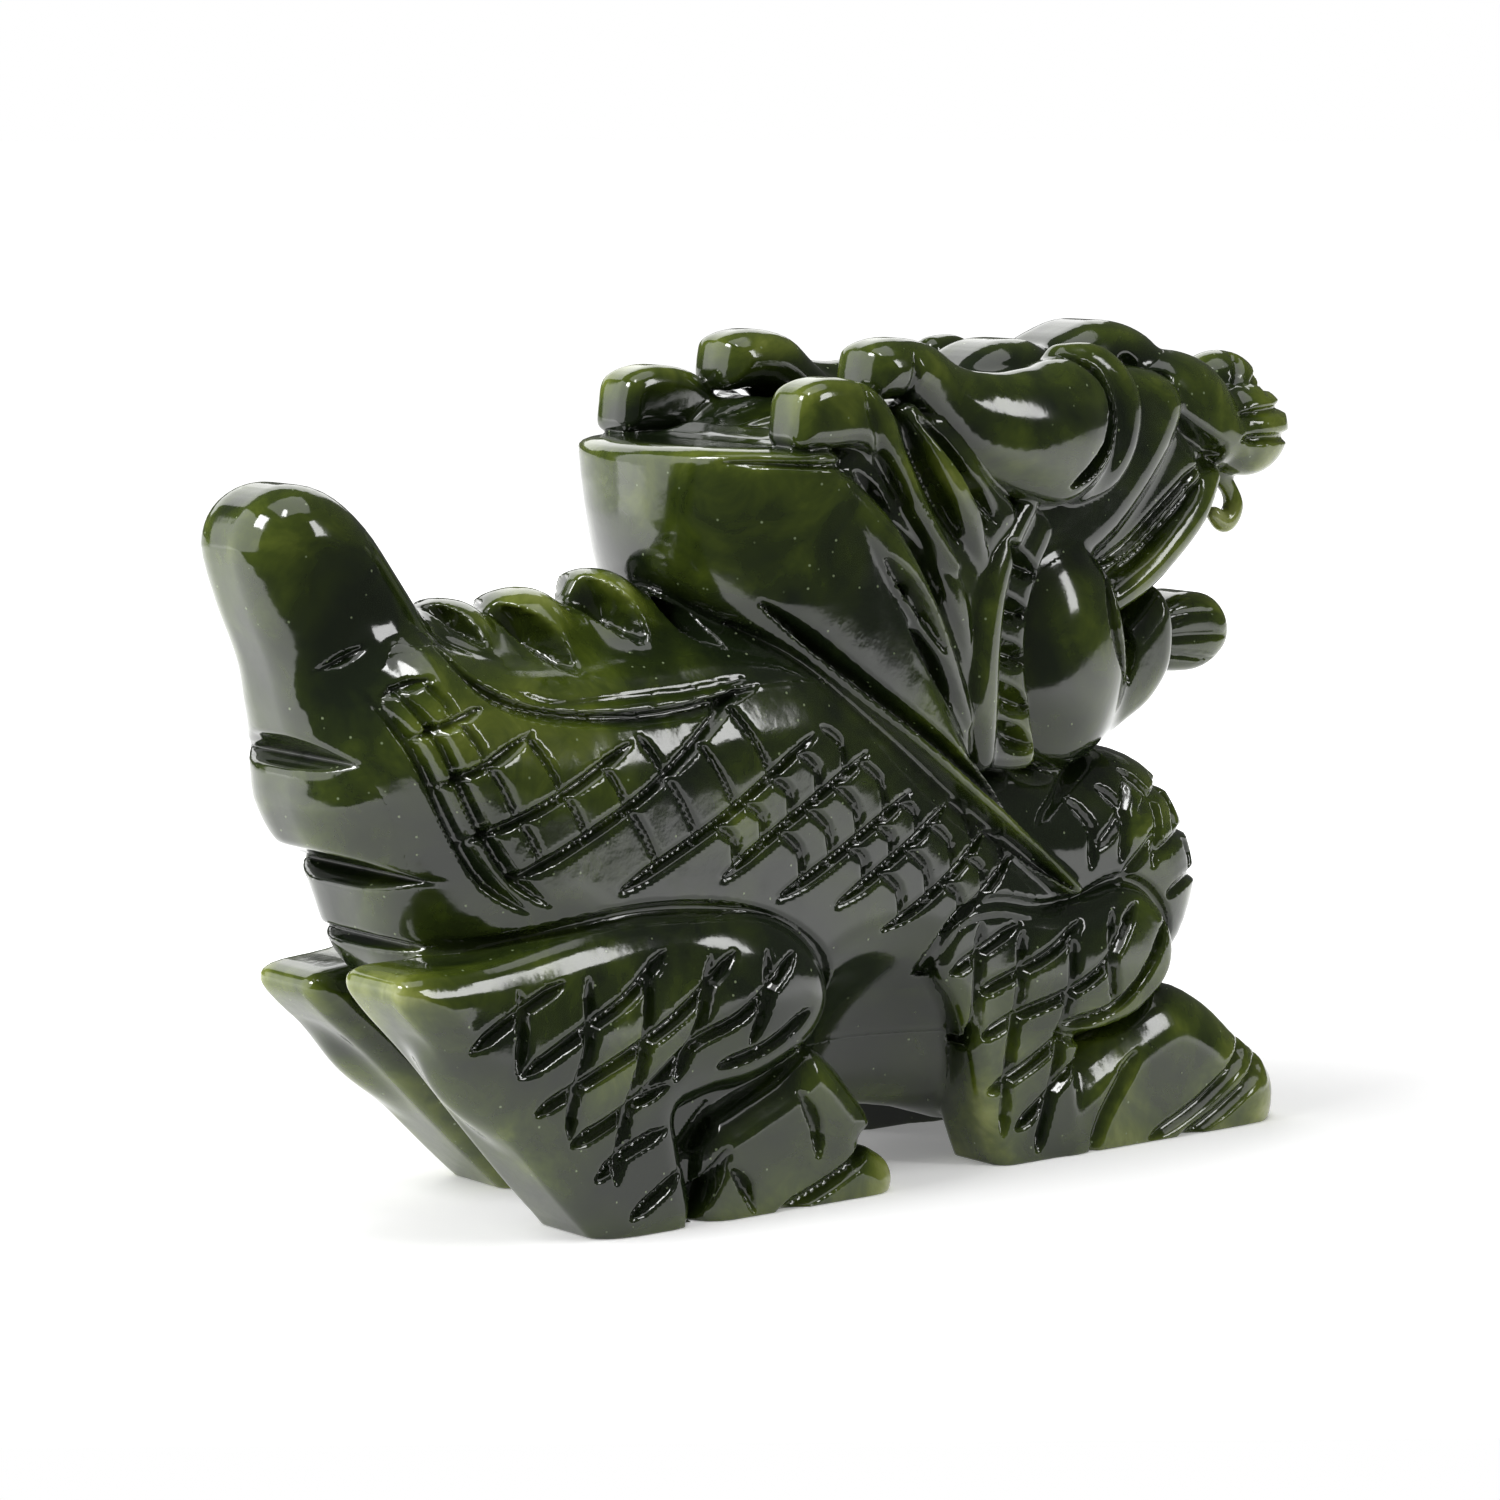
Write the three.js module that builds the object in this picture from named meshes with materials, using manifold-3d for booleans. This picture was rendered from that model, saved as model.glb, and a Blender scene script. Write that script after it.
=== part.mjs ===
// A crouching dragon carved from one block of green jade, drawn as the regions that its carver
// blocks out: every region is its own closed solid, and a saw kerf parts it from its neighbours.
// Units are millimetres. +X points to the nose, +Y to the dragon's left, +Z up. The origin is on
// the table, under the middle of the figure's length.
import * as THREE from "three";
import { mergeVertices } from "three/addons/utils/BufferGeometryUtils.js";
import Module from "manifold-3d";

const wasm = await Module();
wasm.setup();

// ---------------------------------------------------------------- driving sizes
const LENGTH = 82; // tail to nose
const HEIGHT = 53.4; // table to the top of the brows
const KERF = 0.3; // the gap between neighbouring regions

// Half the width of each region that crosses the middle plane.
const TORSO_HALF = 10.4;
const CHEST_HALF = 9.0;
const BELLY_HALF = 6.4;
const MANE_HALF = 10.8; // also the radius of the round back of the head
const SKULL_HALF = 7.4;
const JAW_HALF = 7.0;
const SNOUT_HALF = 6.6;
const NOSE_HALF = 4.6;
const FOREHEAD_HALF = 3.8;
const TONGUE_HALF = 2.3;
const CREST_HALF = 3.6;
const TAIL_HALF = 4.8;

// How far each paired region stands off the side of the core outside it, and how deep it is let
// into the side of the core inside it.
const BROW = { stand: 3.4, bite: 1.8 }; // off the skull, into the skull
const LOCK = { stand: 3.5, bite: 0.7 }; // off the skull, into the skull
const FRILL = { stand: 2.6, bite: 0.5 }; // off the skull, into the jaw
const HORN = { stand: 0.6, bite: 0.6 }; // off the mane, into the skull
const HAUNCH = { stand: 1.6, bite: 1.0 }; // off the torso, into the tail
const HIND_FOOT = { stand: 1.6, bite: 1.0 }; // off the torso, into the belly
const FORELEG = { stand: 1.6, bite: 2.2 }; // off the chest, into the belly
const FOREPAW = { stand: 1.6, bite: 1.4 }; // off the chest, into the belly
const FANG = { stand: -0.4, bite: 2.2 }; // just inside the side of the nose

const LEFT_HIND_STEP = 3.6; // the left hind leg stands this much further forward
const MANE_DRUM_X = -2.4; // where the round back of the head has its axis
const MANE_DRUM_FACETS = 28;
const ROUNDING = 0.8; // how far the polished edges are rounded
const ROUND_STEPS = 2;

// The outlines below are drawn on a side view of this size and stretched to LENGTH and HEIGHT.
const DRAWN_LENGTH = 82;
const DRAWN_HEIGHT = 53.4;
const along = LENGTH / DRAWN_LENGTH;
const up = HEIGHT / DRAWN_HEIGHT;

// ---------------------------------------------------------------- side-view outlines, [x, z]
const OUTLINES = {
  tail: [
    [-28, 15], [-31.4, 18.4], [-32.4, 21.8], [-35.6, 24.8], [-37.4, 27.6], [-37.6, 30.2],
    [-39.6, 33.6], [-40.2, 37.4], [-41.1, 42], [-39.4, 45], [-36, 45.7], [-32.6, 43.6],
    [-29.9, 39.8], [-30.4, 36.4], [-34.4, 33.6], [-31.4, 27.4], [-27, 20.4],
  ],
  crest: [
    [-29.6, 37.4], [-28, 33.6], [-23.6, 31.6], [-17, 31], [-9.4, 32], [-3.6, 36],
    [-9.4, 37.2], [-12.4, 38.6], [-16.2, 39], [-17.6, 37.6], [-21.4, 38.2], [-25, 37],
  ],
  torso: [
    [-27, 14], [-28, 20.4], [-34, 32.6], [-31, 37], [-27, 34.4], [-18, 34], [-9, 35.6],
    [-4, 34.6], [6, 26.6], [16, 19], [16.4, 14.4], [10, 12.2], [0, 11.4], [-12, 11], [-22, 11.6],
  ],
  belly: [
    [-23, 12.6], [-12, 12.6], [0, 12.8], [10, 13.8], [14, 14.8], [15, 11], [9, 7], [-1, 5.4],
    [-12, 6], [-21, 9],
  ],
  chest: [
    [8, 25.6], [14, 24.8], [21.6, 25], [25, 24.6], [27.4, 21.6], [28.9, 17.4], [27, 12],
    [21, 7.4], [14, 6.4], [10, 12], [14.6, 19.4],
  ],
  haunch: [
    [-35.6, 15.8], [-36.2, 17.6], [-33.6, 18.6], [-27.6, 19.8], [-19.9, 20.2], [-12.3, 19.2],
    [-7.4, 17.2], [-5.2, 14.2], [-5.6, 11], [-10.3, 9], [-14.6, 8], [-15.4, 4], [-14, -1.5],
    [-20.6, -1.5], [-24.8, 2.9], [-28.6, 7.4], [-32, 11.5],
  ],
  hindFoot: [
    [-12.8, 9], [-6.2, 10.4], [-2.7, 7.6], [-0.7, 4.8], [-0.6, 3], [0.3, 1.4], [-1.4, -1.5],
    [-12.4, -1.5], [-14.6, 3.4],
  ],
  foreleg: [
    [5.8, 13.4], [7.4, 16.4], [11, 17], [16, 16.4], [21, 17.2], [24.2, 16], [25.4, 13.2],
    [24.4, 10.4], [20.4, 7.8], [17.6, 5.6], [15.4, -1.5], [11.6, -1.5], [9.4, 2.8], [8, 7.6],
  ],
  forepaw: [
    [19.6, 7], [23, 8.6], [26, 9.8], [30, 8], [33.4, 5.2], [35.7, 3.2], [35.6, 0.4], [32, -1.5],
    [16.6, -1.5], [17.6, 3.4],
  ],
  mane: [
    [-13.4, 46.4], [-13.4, 40], [-11, 36.6], [-5, 32], [3, 26], [10.6, 20.6], [12, 26.4],
    [8, 33], [4, 42], [1, 45],
  ],
  lock: [
    [0.4, 49.4], [2.6, 49.6], [6, 47.2], [9.8, 43.8], [11.2, 41.6], [8.6, 37.4], [8, 32],
    [8, 27.4], [4.8, 31], [2, 36], [0, 41], [-0.4, 45],
  ],
  horn: [
    [-6.2, 45.4], [-6, 49.4], [-4.4, 50.7], [-1.2, 50.5], [0.6, 47.6], [4, 40.4], [7.4, 33],
    [3.4, 37.6], [-0.6, 43.6],
  ],
  brow: [
    [0.8, 49.7], [0.8, 52], [2.6, 53.1], [5.4, 52.8], [8.2, 50.4], [11.6, 49.6], [15.4, 51.2],
    [19, 51.8], [22, 49.6], [22.4, 46], [20.4, 42.8], [16.4, 41.4], [12.6, 42.2], [8.4, 45.2],
  ],
  forehead: [
    [12.6, 48.6], [14.6, 51.4], [17.4, 52.4], [20.4, 52.4], [25.6, 53.5], [29.6, 52.5], [30.6, 51],
    [29.4, 48.8], [22, 47.4],
  ],
  skull: [
    [-1, 44.4], [1.4, 48.8], [9, 49], [18, 50], [25, 50.4], [27, 47.4], [24, 43.4], [19.6, 39],
    [15, 37], [9, 30], [4.6, 33.6],
  ],
  frill: [
    [12.4, 42], [10.2, 39.8], [8.7, 36.8], [8, 33], [8.2, 27], [11.6, 26], [15.4, 26.4],
    [14.2, 30], [14, 35], [14.8, 38], [15.4, 41],
  ],
  snout: [
    [24.6, 46.8], [28.6, 51], [31.8, 51.3], [34.4, 50], [36, 47.6], [38.4, 44.4], [37.4, 42.4],
    [33.4, 42.6], [30.8, 39.4], [27.2, 36.8], [23.6, 34.8], [20.4, 37.6], [20, 41],
  ],
  nose: [
    [35, 50.2], [37.8, 50.8], [40, 49.4], [40.9, 46.6], [40.4, 43.8], [38, 42.8], [35.4, 43.6],
    [34.6, 47],
  ],
  fang: [[35.4, 43.2], [37.6, 43], [39.2, 40.6], [38.4, 38.6], [36.6, 39.2]],
  lowerJaw: [
    [14, 36.6], [17.8, 37.2], [20.4, 35.6], [23.6, 33.4], [27.4, 35.6], [29, 33.6], [28.8, 30.4],
    [26.4, 28], [22.6, 25.8], [18, 25.2], [13, 26.2], [13, 31],
  ],
  tongue: [
    [24.6, 33], [27.4, 31.6], [32.6, 29.9], [35.8, 29.9], [37.3, 32], [36.4, 34.4], [33, 35.2],
    [28.6, 34.2], [25, 35],
  ],
};

// ---------------------------------------------------------------- making and cutting solids

// A drawn outline at full size; the extrusion rounds its edges.
function outlineShape(points) {
  return new THREE.Shape(points.map(([x, z]) => new THREE.Vector2(x * along, z * up)));
}

// A three.js geometry as a manifold solid.
function solidOf(geometry) {
  const bare = geometry.clone();
  bare.deleteAttribute("normal");
  bare.deleteAttribute("uv");
  const merged = mergeVertices(bare, 1e-4);
  return new wasm.Manifold(
    new wasm.Mesh({
      numProp: 3,
      vertProperties: merged.attributes.position.array,
      triVerts: new Uint32Array(merged.index.array),
    }),
  );
}

// A plate with the outline's shape between y = low and y = high, with rounded edges. Grow makes
// it larger on every side, which is how a neighbour keeps its kerf.
function plate(points, low, high, grow) {
  const rounding = Math.min(ROUNDING, (high - low) / 3);
  const geometry = new THREE.ExtrudeGeometry(outlineShape(points), {
    depth: high - low - 2 * rounding,
    steps: 1,
    bevelEnabled: true,
    bevelThickness: rounding + grow,
    bevelSize: rounding,
    bevelOffset: grow - rounding,
    bevelSegments: ROUND_STEPS,
  });
  geometry.rotateX(Math.PI / 2);
  geometry.translate(0, high - rounding, 0);
  return solidOf(geometry);
}

// The plan of the mane: a half drum behind, straight sides in front.
function manePlan(grow) {
  const radius = MANE_HALF + grow;
  const centre = MANE_DRUM_X * along;
  const drum = new THREE.CylinderGeometry(radius, radius, HEIGHT, MANE_DRUM_FACETS);
  drum.rotateX(Math.PI / 2);
  drum.translate(centre, 0, HEIGHT / 2);
  const sides = new THREE.BoxGeometry(LENGTH, 2 * radius, HEIGHT);
  sides.translate(centre + LENGTH / 2, 0, HEIGHT / 2);
  return solidOf(drum).add(solidOf(sides));
}

// Everything above the table.
function aboveTable() {
  const block = new THREE.BoxGeometry(2 * LENGTH, 2 * LENGTH, 2 * HEIGHT);
  return solidOf(block.translate(0, 0, HEIGHT));
}

// The largest body of a cut solid: what else a cut leaves is a chip.
function withoutChips(solid) {
  const bodies = solid.decompose();
  return bodies.reduce((best, body) => (body.volume() > best.volume() ? body : best));
}

// ---------------------------------------------------------------- the regions

// Polished dark green jade.
function jade() {
  return new THREE.MeshStandardMaterial({ color: 0x2f3d17, roughness: 0.14, metalness: 0 });
}

// A region across the middle plane.
function middle(name, outline, half) {
  return [{ name, make: (grow) => plate(outline, -half, half, grow) }];
}

// The right and left copies of a region, each from a face outside to a face inside.
function pair(name, outline, outside, inside, { stand, bite }, leftStep = 0) {
  const outer = outside + stand;
  const inner = inside - bite;
  const stepped = outline.map(([x, z]) => [x + leftStep / along, z]);
  return [
    { name: `right_${name}`, make: (grow) => plate(outline, -outer, -inner, grow) },
    { name: `left_${name}`, make: (grow) => plate(stepped, inner, outer, grow) },
  ];
}

// In the order that a carver would free them: each is cut back from all that come before it.
const regions = [
  ...pair("upper_fang", OUTLINES.fang, NOSE_HALF, NOSE_HALF, FANG),
  ...middle("nose", OUTLINES.nose, NOSE_HALF),
  ...middle("tongue", OUTLINES.tongue, TONGUE_HALF),
  ...pair("brow", OUTLINES.brow, SKULL_HALF, SKULL_HALF, BROW),
  ...pair("horn", OUTLINES.horn, MANE_HALF, SKULL_HALF, HORN),
  ...pair("cheek_frill", OUTLINES.frill, SKULL_HALF, JAW_HALF, FRILL),
  ...pair("mane_locks", OUTLINES.lock, SKULL_HALF, SKULL_HALF, LOCK),
  ...middle("forehead", OUTLINES.forehead, FOREHEAD_HALF),
  ...middle("snout", OUTLINES.snout, SNOUT_HALF),
  ...middle("lower_jaw", OUTLINES.lowerJaw, JAW_HALF),
  ...pair("haunch", OUTLINES.haunch, TORSO_HALF, TAIL_HALF, HAUNCH, LEFT_HIND_STEP),
  ...pair("hind_foot", OUTLINES.hindFoot, TORSO_HALF, BELLY_HALF, HIND_FOOT, LEFT_HIND_STEP),
  ...pair("foreleg", OUTLINES.foreleg, CHEST_HALF, BELLY_HALF, FORELEG),
  ...pair("forepaw", OUTLINES.forepaw, CHEST_HALF, BELLY_HALF, FOREPAW),
  ...middle("tail", OUTLINES.tail, TAIL_HALF),
  ...middle("dorsal_crest", OUTLINES.crest, CREST_HALF),
  ...middle("skull", OUTLINES.skull, SKULL_HALF),
  {
    name: "neck_mane",
    make: (grow) =>
      plate(OUTLINES.mane, -MANE_HALF, MANE_HALF, grow).intersect(manePlan(grow)),
  },
  ...middle("chest", OUTLINES.chest, CHEST_HALF),
  ...middle("torso", OUTLINES.torso, TORSO_HALF),
  ...middle("belly", OUTLINES.belly, BELLY_HALF),
];

// A three.js mesh from a manifold solid.
function meshOf(name, solid) {
  const { vertProperties, triVerts } = solid.getMesh();
  const geometry = new THREE.BufferGeometry();
  geometry.setAttribute("position", new THREE.BufferAttribute(vertProperties, 3));
  geometry.setIndex(new THREE.BufferAttribute(triVerts, 1));
  geometry.computeVertexNormals();
  const mesh = new THREE.Mesh(geometry, jade());
  mesh.name = name;
  return mesh;
}

const dragon = new THREE.Group();
const table = aboveTable();
let freed = null;
for (const { name, make } of regions) {
  const whole = make(0).intersect(table);
  dragon.add(meshOf(name, withoutChips(freed ? whole.subtract(freed) : whole)));
  freed = freed ? freed.add(make(KERF)) : make(KERF);
}

// The middle of the length goes over the origin.
const box = new THREE.Box3().setFromObject(dragon);
dragon.position.x = -(box.min.x + box.max.x) / 2;

export default dragon;
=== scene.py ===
# %% [markdown]
# # A crouching dragon in polished jade
#
# The real object is one small block of dark green stone. A carver saws and grinds the masses
# first, then cuts the edges between them, engraves scales and hair with a small round bur, and
# polishes everything until it mirrors the room. This lesson does the same on a computer: the
# dragon is a *distance field*, a number at every point of a fine grid that says how far the
# stone's surface is. Masses are joined by taking the smaller distance, hollows are cut by
# turning a distance round, and a bur line is a small number added along a curve. Polygons made
# by hand could give the same shape, but every groove would then need its own loops of faces.

import math

import bpy
import numpy as np
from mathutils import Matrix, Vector


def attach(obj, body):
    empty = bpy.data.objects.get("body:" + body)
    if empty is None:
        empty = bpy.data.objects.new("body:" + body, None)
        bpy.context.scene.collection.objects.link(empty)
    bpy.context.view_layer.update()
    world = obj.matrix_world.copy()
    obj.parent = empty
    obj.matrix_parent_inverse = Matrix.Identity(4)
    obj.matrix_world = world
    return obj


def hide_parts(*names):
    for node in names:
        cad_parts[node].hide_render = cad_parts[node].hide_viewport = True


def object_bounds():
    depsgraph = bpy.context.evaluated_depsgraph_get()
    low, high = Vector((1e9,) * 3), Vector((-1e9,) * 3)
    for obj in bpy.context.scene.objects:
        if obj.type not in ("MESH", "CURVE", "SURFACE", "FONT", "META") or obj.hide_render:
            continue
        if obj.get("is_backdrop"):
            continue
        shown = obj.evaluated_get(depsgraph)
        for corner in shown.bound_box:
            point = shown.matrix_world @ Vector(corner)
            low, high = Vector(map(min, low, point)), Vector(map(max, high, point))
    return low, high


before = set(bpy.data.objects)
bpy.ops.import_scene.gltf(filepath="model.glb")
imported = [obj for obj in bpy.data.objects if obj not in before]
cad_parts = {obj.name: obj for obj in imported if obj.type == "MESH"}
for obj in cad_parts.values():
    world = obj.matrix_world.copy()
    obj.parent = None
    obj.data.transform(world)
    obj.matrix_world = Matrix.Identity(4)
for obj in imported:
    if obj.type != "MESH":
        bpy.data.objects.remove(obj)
cad_low, cad_high = (np.array(corner, float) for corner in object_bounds())
print("CAD box in mm:", np.round((cad_high - cad_low) * 1000, 2))

# %% [markdown]
# ## One millimetre of carving
#
# All the shapes below are written in millimetres of an 82 mm long dragon, with x along the body,
# z up, and w the distance from the middle plane. The CAD model says how long the real figure is
# and where it stands, so one factor and one shift put the carving into the frame.

# %% The carving's scale and its place
CARVED_LENGTH = 82.0
MM = (cad_high[0] - cad_low[0]) / CARVED_LENGTH
PLACE = np.array([(cad_low[0] + cad_high[0]) / 2, (cad_low[1] + cad_high[1]) / 2, cad_low[2]])
NOSE_AHEAD = 0.9  # the carving's own origin lies this far behind the middle of its length
print("one carved millimetre is", round(MM * 1000, 4), "mm")

# %% [markdown]
# ## The grid
#
# The figure is nearly the same on both sides, so only the half with w from 0 outwards is worked
# out, once for each side, and mirrored. The step of the grid is about a fifth of a groove's width:
# coarser and the engraved lines would break up, finer and the mesh would be needlessly heavy.

# %% The half grid
STEP = 0.18
FAR = 9.0  # the distance that stands for "nowhere near"
grid_x = np.arange(-43.4, 42.4, STEP, dtype=np.float32)
grid_w = np.arange(0.0, 13.6, STEP, dtype=np.float32)
grid_z = np.arange(-1.0, 55.6, STEP, dtype=np.float32)
flat_x, flat_z = np.meshgrid(grid_x, grid_z, indexing="ij")
print("cells in the half grid:", grid_x.size * grid_w.size * grid_z.size)


class Block:
    """A box of the half grid, and the distance field of one region of the carving in it."""

    def __init__(self, x, z, w):
        self.ix = slice(*np.searchsorted(grid_x, x))
        self.iz = slice(*np.searchsorted(grid_z, z))
        self.iw = slice(*np.searchsorted(grid_w, w))
        self.x = grid_x[self.ix][:, None, None]
        self.w = grid_w[self.iw][None, :, None]
        self.z = grid_z[self.iz][None, None, :]
        shape = (self.x.size, self.w.size, self.z.size)
        self.field = np.full(shape, FAR, np.float32)

    def add(self, shape, melt=0.3):
        """Stone where the region or the shape is, with a fillet about melt wide."""
        self.field = join(self.field, shape, melt)

    def cut(self, shape, melt=0.15):
        """Stone where the region is and the shape isn't."""
        self.field = -join(-self.field, shape, melt)

    def plate(self, outline, inner, outer, edge=1.0, crown=1.0, melt=0.3):
        """Adds a slab of an outline, as described at slab."""
        self.add(slab(self, outline, inner, outer, edge, crown), melt)

    def rod(self, points, melt=0.3, squash=1.0):
        """Adds a tapering rod."""
        self.add(strand(self, points, squash), melt)

    def lump(self, centre, radii, melt=0.3):
        """Adds an ellipsoid."""
        self.add(ball(self, centre, radii), melt)

    def lines(self, strokes, w_from=0.0, **bur):
        """Engraves strokes of a bur."""
        self.engrave(stroke_map(strokes, **bur), w_from)

    def engrave(self, depth_map, w_from=0.0):
        """Lowers the surface by a map of depths over x and z, from w_from outwards."""
        local = depth_map[self.ix, self.iz][:, None, :]
        self.field = self.field + local * smooth(self.w, w_from, w_from + 1.2)

    def whole(self):
        """The field over the whole half grid."""
        full = np.full((grid_x.size, grid_w.size, grid_z.size), FAR, np.float32)
        full[self.ix, self.iw, self.iz] = self.field
        return full


# %% [markdown]
# ## Joining, fading and measuring
#
# These few functions are the whole tool box. The smooth join is a plain minimum, lowered a little
# where both distances are nearly equal, which is where a fillet would be.

# %% The tool box
def join(a, b, melt):
    """The smaller of a and b, less a quarter of melt times the square of their closeness."""
    close = np.maximum(melt - np.abs(a - b), 0.0) / melt
    return np.minimum(a, b) - close * close * (melt * 0.25)


def smooth(value, low, high):
    """0 below low, 1 above high, and 3t^2 - 2t^3 between."""
    t = np.clip((value - low) / (high - low), 0.0, 1.0)
    return t * t * (3.0 - 2.0 * t)


def rounded(points, steps=4, closed=True):
    """A Catmull-Rom curve through points: each span blends two straight continuations."""
    p = np.array(points, float)
    before, after = np.roll(p, 1, 0), np.roll(p, -1, 0)
    if not closed:
        before[0], after[-1] = p[0], p[-1]
    tangent = (after - before) / 2
    ends, end_tangent = np.roll(p, -1, 0), np.roll(tangent, -1, 0)
    if not closed:
        p, tangent, ends, end_tangent = p[:-1], tangent[:-1], ends[:-1], end_tangent[:-1]
    t = (np.arange(steps) / steps)[None, :, None]
    curve = (
        (2 * t**3 - 3 * t**2 + 1) * p[:, None]
        + (t**3 - 2 * t**2 + t) * tangent[:, None]
        + (3 * t**2 - 2 * t**3) * ends[:, None]
        + (t**3 - t**2) * end_tangent[:, None]
    ).reshape(-1, p.shape[1])
    return curve if closed else np.vstack([curve, ends[-1]])


def outline_distance(points, steps=4):
    """Distance in x and z to a closed rounded outline, negative inside.

    The nearest point of every straight piece is found by projection. The sign comes from
    counting how many pieces a line towards -x crosses.
    """
    ring = rounded(points, steps).astype(np.float32)
    nearest = np.full(flat_x.shape, 1e9, np.float32)
    inside = np.zeros(flat_x.shape, bool)
    for (ax, az), (bx, bz) in zip(ring, np.roll(ring, -1, 0)):
        ex, ez = bx - ax, bz - az
        px, pz = flat_x - ax, flat_z - az
        t = np.clip((px * ex + pz * ez) / max(ex * ex + ez * ez, 1e-9), 0, 1)
        nearest = np.minimum(nearest, (px - t * ex) ** 2 + (pz - t * ez) ** 2)
        if ez != 0:
            crossing = (flat_z >= min(az, bz)) & (flat_z < max(az, bz))
            inside ^= crossing & (flat_x > ax + (flat_z - az) * ex / ez)
    return np.where(inside, -1, 1) * np.sqrt(nearest)


def slab(block, outline, inner, outer, edge=1.0, crown=1.0):
    """A slab of an outline between w = inner and w = outer, with quarter-ellipse edges.

    The edge reaches this far in from the outline, and the crown this far in from the flat
    faces; the distance is the ellipse's radius less one, times the smaller of the two.
    """
    across = np.abs(block.w - (inner + outer) / 2) - (outer - inner) / 2
    a = (outline[block.ix, block.iz][:, None, :] + edge) / edge
    b = (across + crown) / crown
    corner = np.sqrt(np.maximum(a, 0) ** 2 + np.maximum(b, 0) ** 2)
    return (corner + np.minimum(np.maximum(a, b), 0) - 1.0) * min(edge, crown)


def ball(block, centre, radii):
    """An ellipsoid: k0 (k0 - 1) / k1, where k0 and k1 are lengths over radii and radii squared."""
    d = [block.x - centre[0], block.w - centre[1], block.z - centre[2]]
    k0 = np.sqrt(sum((v / r) ** 2 for v, r in zip(d, radii)))
    k1 = np.sqrt(sum((v / r**2) ** 2 for v, r in zip(d, radii)))
    return k0 * (k0 - 1.0) / np.maximum(k1, 1e-6)


def running_mean(data, cells):
    """Mean over a window along each axis, from differences of a running sum."""
    for axis in range(3):
        width = [(0, 0)] * 3
        width[axis] = (cells + 1, cells)
        total = np.cumsum(np.pad(data, width, mode="edge"), axis=axis, dtype=np.float64)
        upper = np.take(total, range(2 * cells + 1, total.shape[axis]), axis=axis)
        lower = np.take(total, range(0, total.shape[axis] - 2 * cells - 1), axis=axis)
        data = ((upper - lower) / (2 * cells + 1)).astype(np.float32)
    return data


def strand(block, points, squash=1.0):
    """A rod through points (x, w, z, radius), which tapers from radius to radius.

    Every straight piece gives the distance to its axis less the radius there, and the
    smallest counts. Squash below 1 makes the rod flatter across the figure. The mean of three
    grid points along each axis takes off the faint creases between the pieces.
    """
    path = rounded(points, 5, closed=False).astype(np.float32)
    nearest = np.full(block.field.shape, FAR, np.float32)
    for a, b in zip(path[:-1], path[1:]):
        e = b[:3] - a[:3]
        px, pw, pz = block.x - a[0], (block.w - a[1]) / squash, block.z - a[2]
        t = np.clip((px * e[0] + pw * e[1] + pz * e[2]) / max(e @ e, 1e-9), 0, 1)
        gap = (px - t * e[0]) ** 2 + (pw - t * e[1]) ** 2 + (pz - t * e[2]) ** 2
        nearest = np.minimum(nearest, np.sqrt(gap) - (a[3] + t * (b[3] - a[3])))
    return running_mean(nearest * squash, 1)


print("tool box ready")

# %% [markdown]
# ## Bur lines
#
# An engraved line is a stroke of a small round bur: deepest in the middle, and running out at
# both ends as the carver lifts the tool. A stroke becomes a map of depths over x and z. All the
# strokes of a region are laid into one map, where the deepest counts.

# %% Strokes
BUR = 0.42  # half the width of a bur line
CUT = 0.55  # its depth


def stroke_map(strokes, half=BUR, depth=CUT, lift=1.6):
    """Depth of engraved strokes: depth * (1 - (distance / half width)^1.4), above zero.

    The half width follows the square root of the way to the nearer end, over the lift.
    """
    deepest = np.zeros(flat_x.shape, np.float32)
    for stroke in strokes:
        path = rounded(stroke, 4, closed=False).astype(np.float32)
        spans = np.hypot(*np.diff(path, axis=0).T)
        reached = np.concatenate([[0.0], np.cumsum(spans)])
        for (ax, az), (bx, bz), start, span in zip(path[:-1], path[1:], reached, spans):
            ex, ez = bx - ax, bz - az
            px, pz = flat_x - ax, flat_z - az
            t = np.clip((px * ex + pz * ez) / max(ex * ex + ez * ez, 1e-9), 0, 1)
            gap = np.hypot(px - t * ex, pz - t * ez)
            along = start + t * span
            end = np.minimum(along, reached[-1] - along)
            wide = half * np.sqrt(np.clip(end / lift, 0.02, 1.0))
            cut = (1.0 - (gap / wide) ** 1.4) * depth * wide / half
            deepest = np.maximum(deepest, cut)
    return deepest


def moat(distance, half=0.55, depth=0.6, out=0.25):
    """A groove that follows an outline, just outside it."""
    return np.maximum(1.0 - ((distance - out) / half) ** 2, 0.0) * depth


# %% [markdown]
# ## Outlines of the masses
#
# Seen from the side, the dragon is a handful of outlines. The carver draws them on the sawn block
# with a paint pen. Each is a short list of points, and the rounded curve runs through them.

# %% Side-view outlines, (x, z)
TAIL = [
    (-27.0, 14.0), (-29.8, 15.0), (-32.0, 17.0), (-32.6, 19.4), (-33.0, 21.4), (-34.0, 22.8),
    (-36.6, 24.0), (-38.0, 26.6), (-37.8, 29.4), (-39.0, 32.4), (-39.9, 35.4), (-41.2, 38.6),
    (-42.1, 42.0), (-41.2, 44.4),
    (-39.0, 45.6), (-36.2, 45.2), (-33.6, 43.2), (-31.2, 40.0), (-29.0, 36.8), (-27.0, 34.0),
    (-25.0, 28.0), (-24.4, 20.0),
]
TAIL_ROOT = [(-37.2, 28.5), (-34.2, 22.5), (-31.0, 16.5), (-26.0, 14.0), (-22.0, 20.0),
             (-26.0, 28.0), (-31.0, 34.5), (-35.4, 35.0)]
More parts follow.
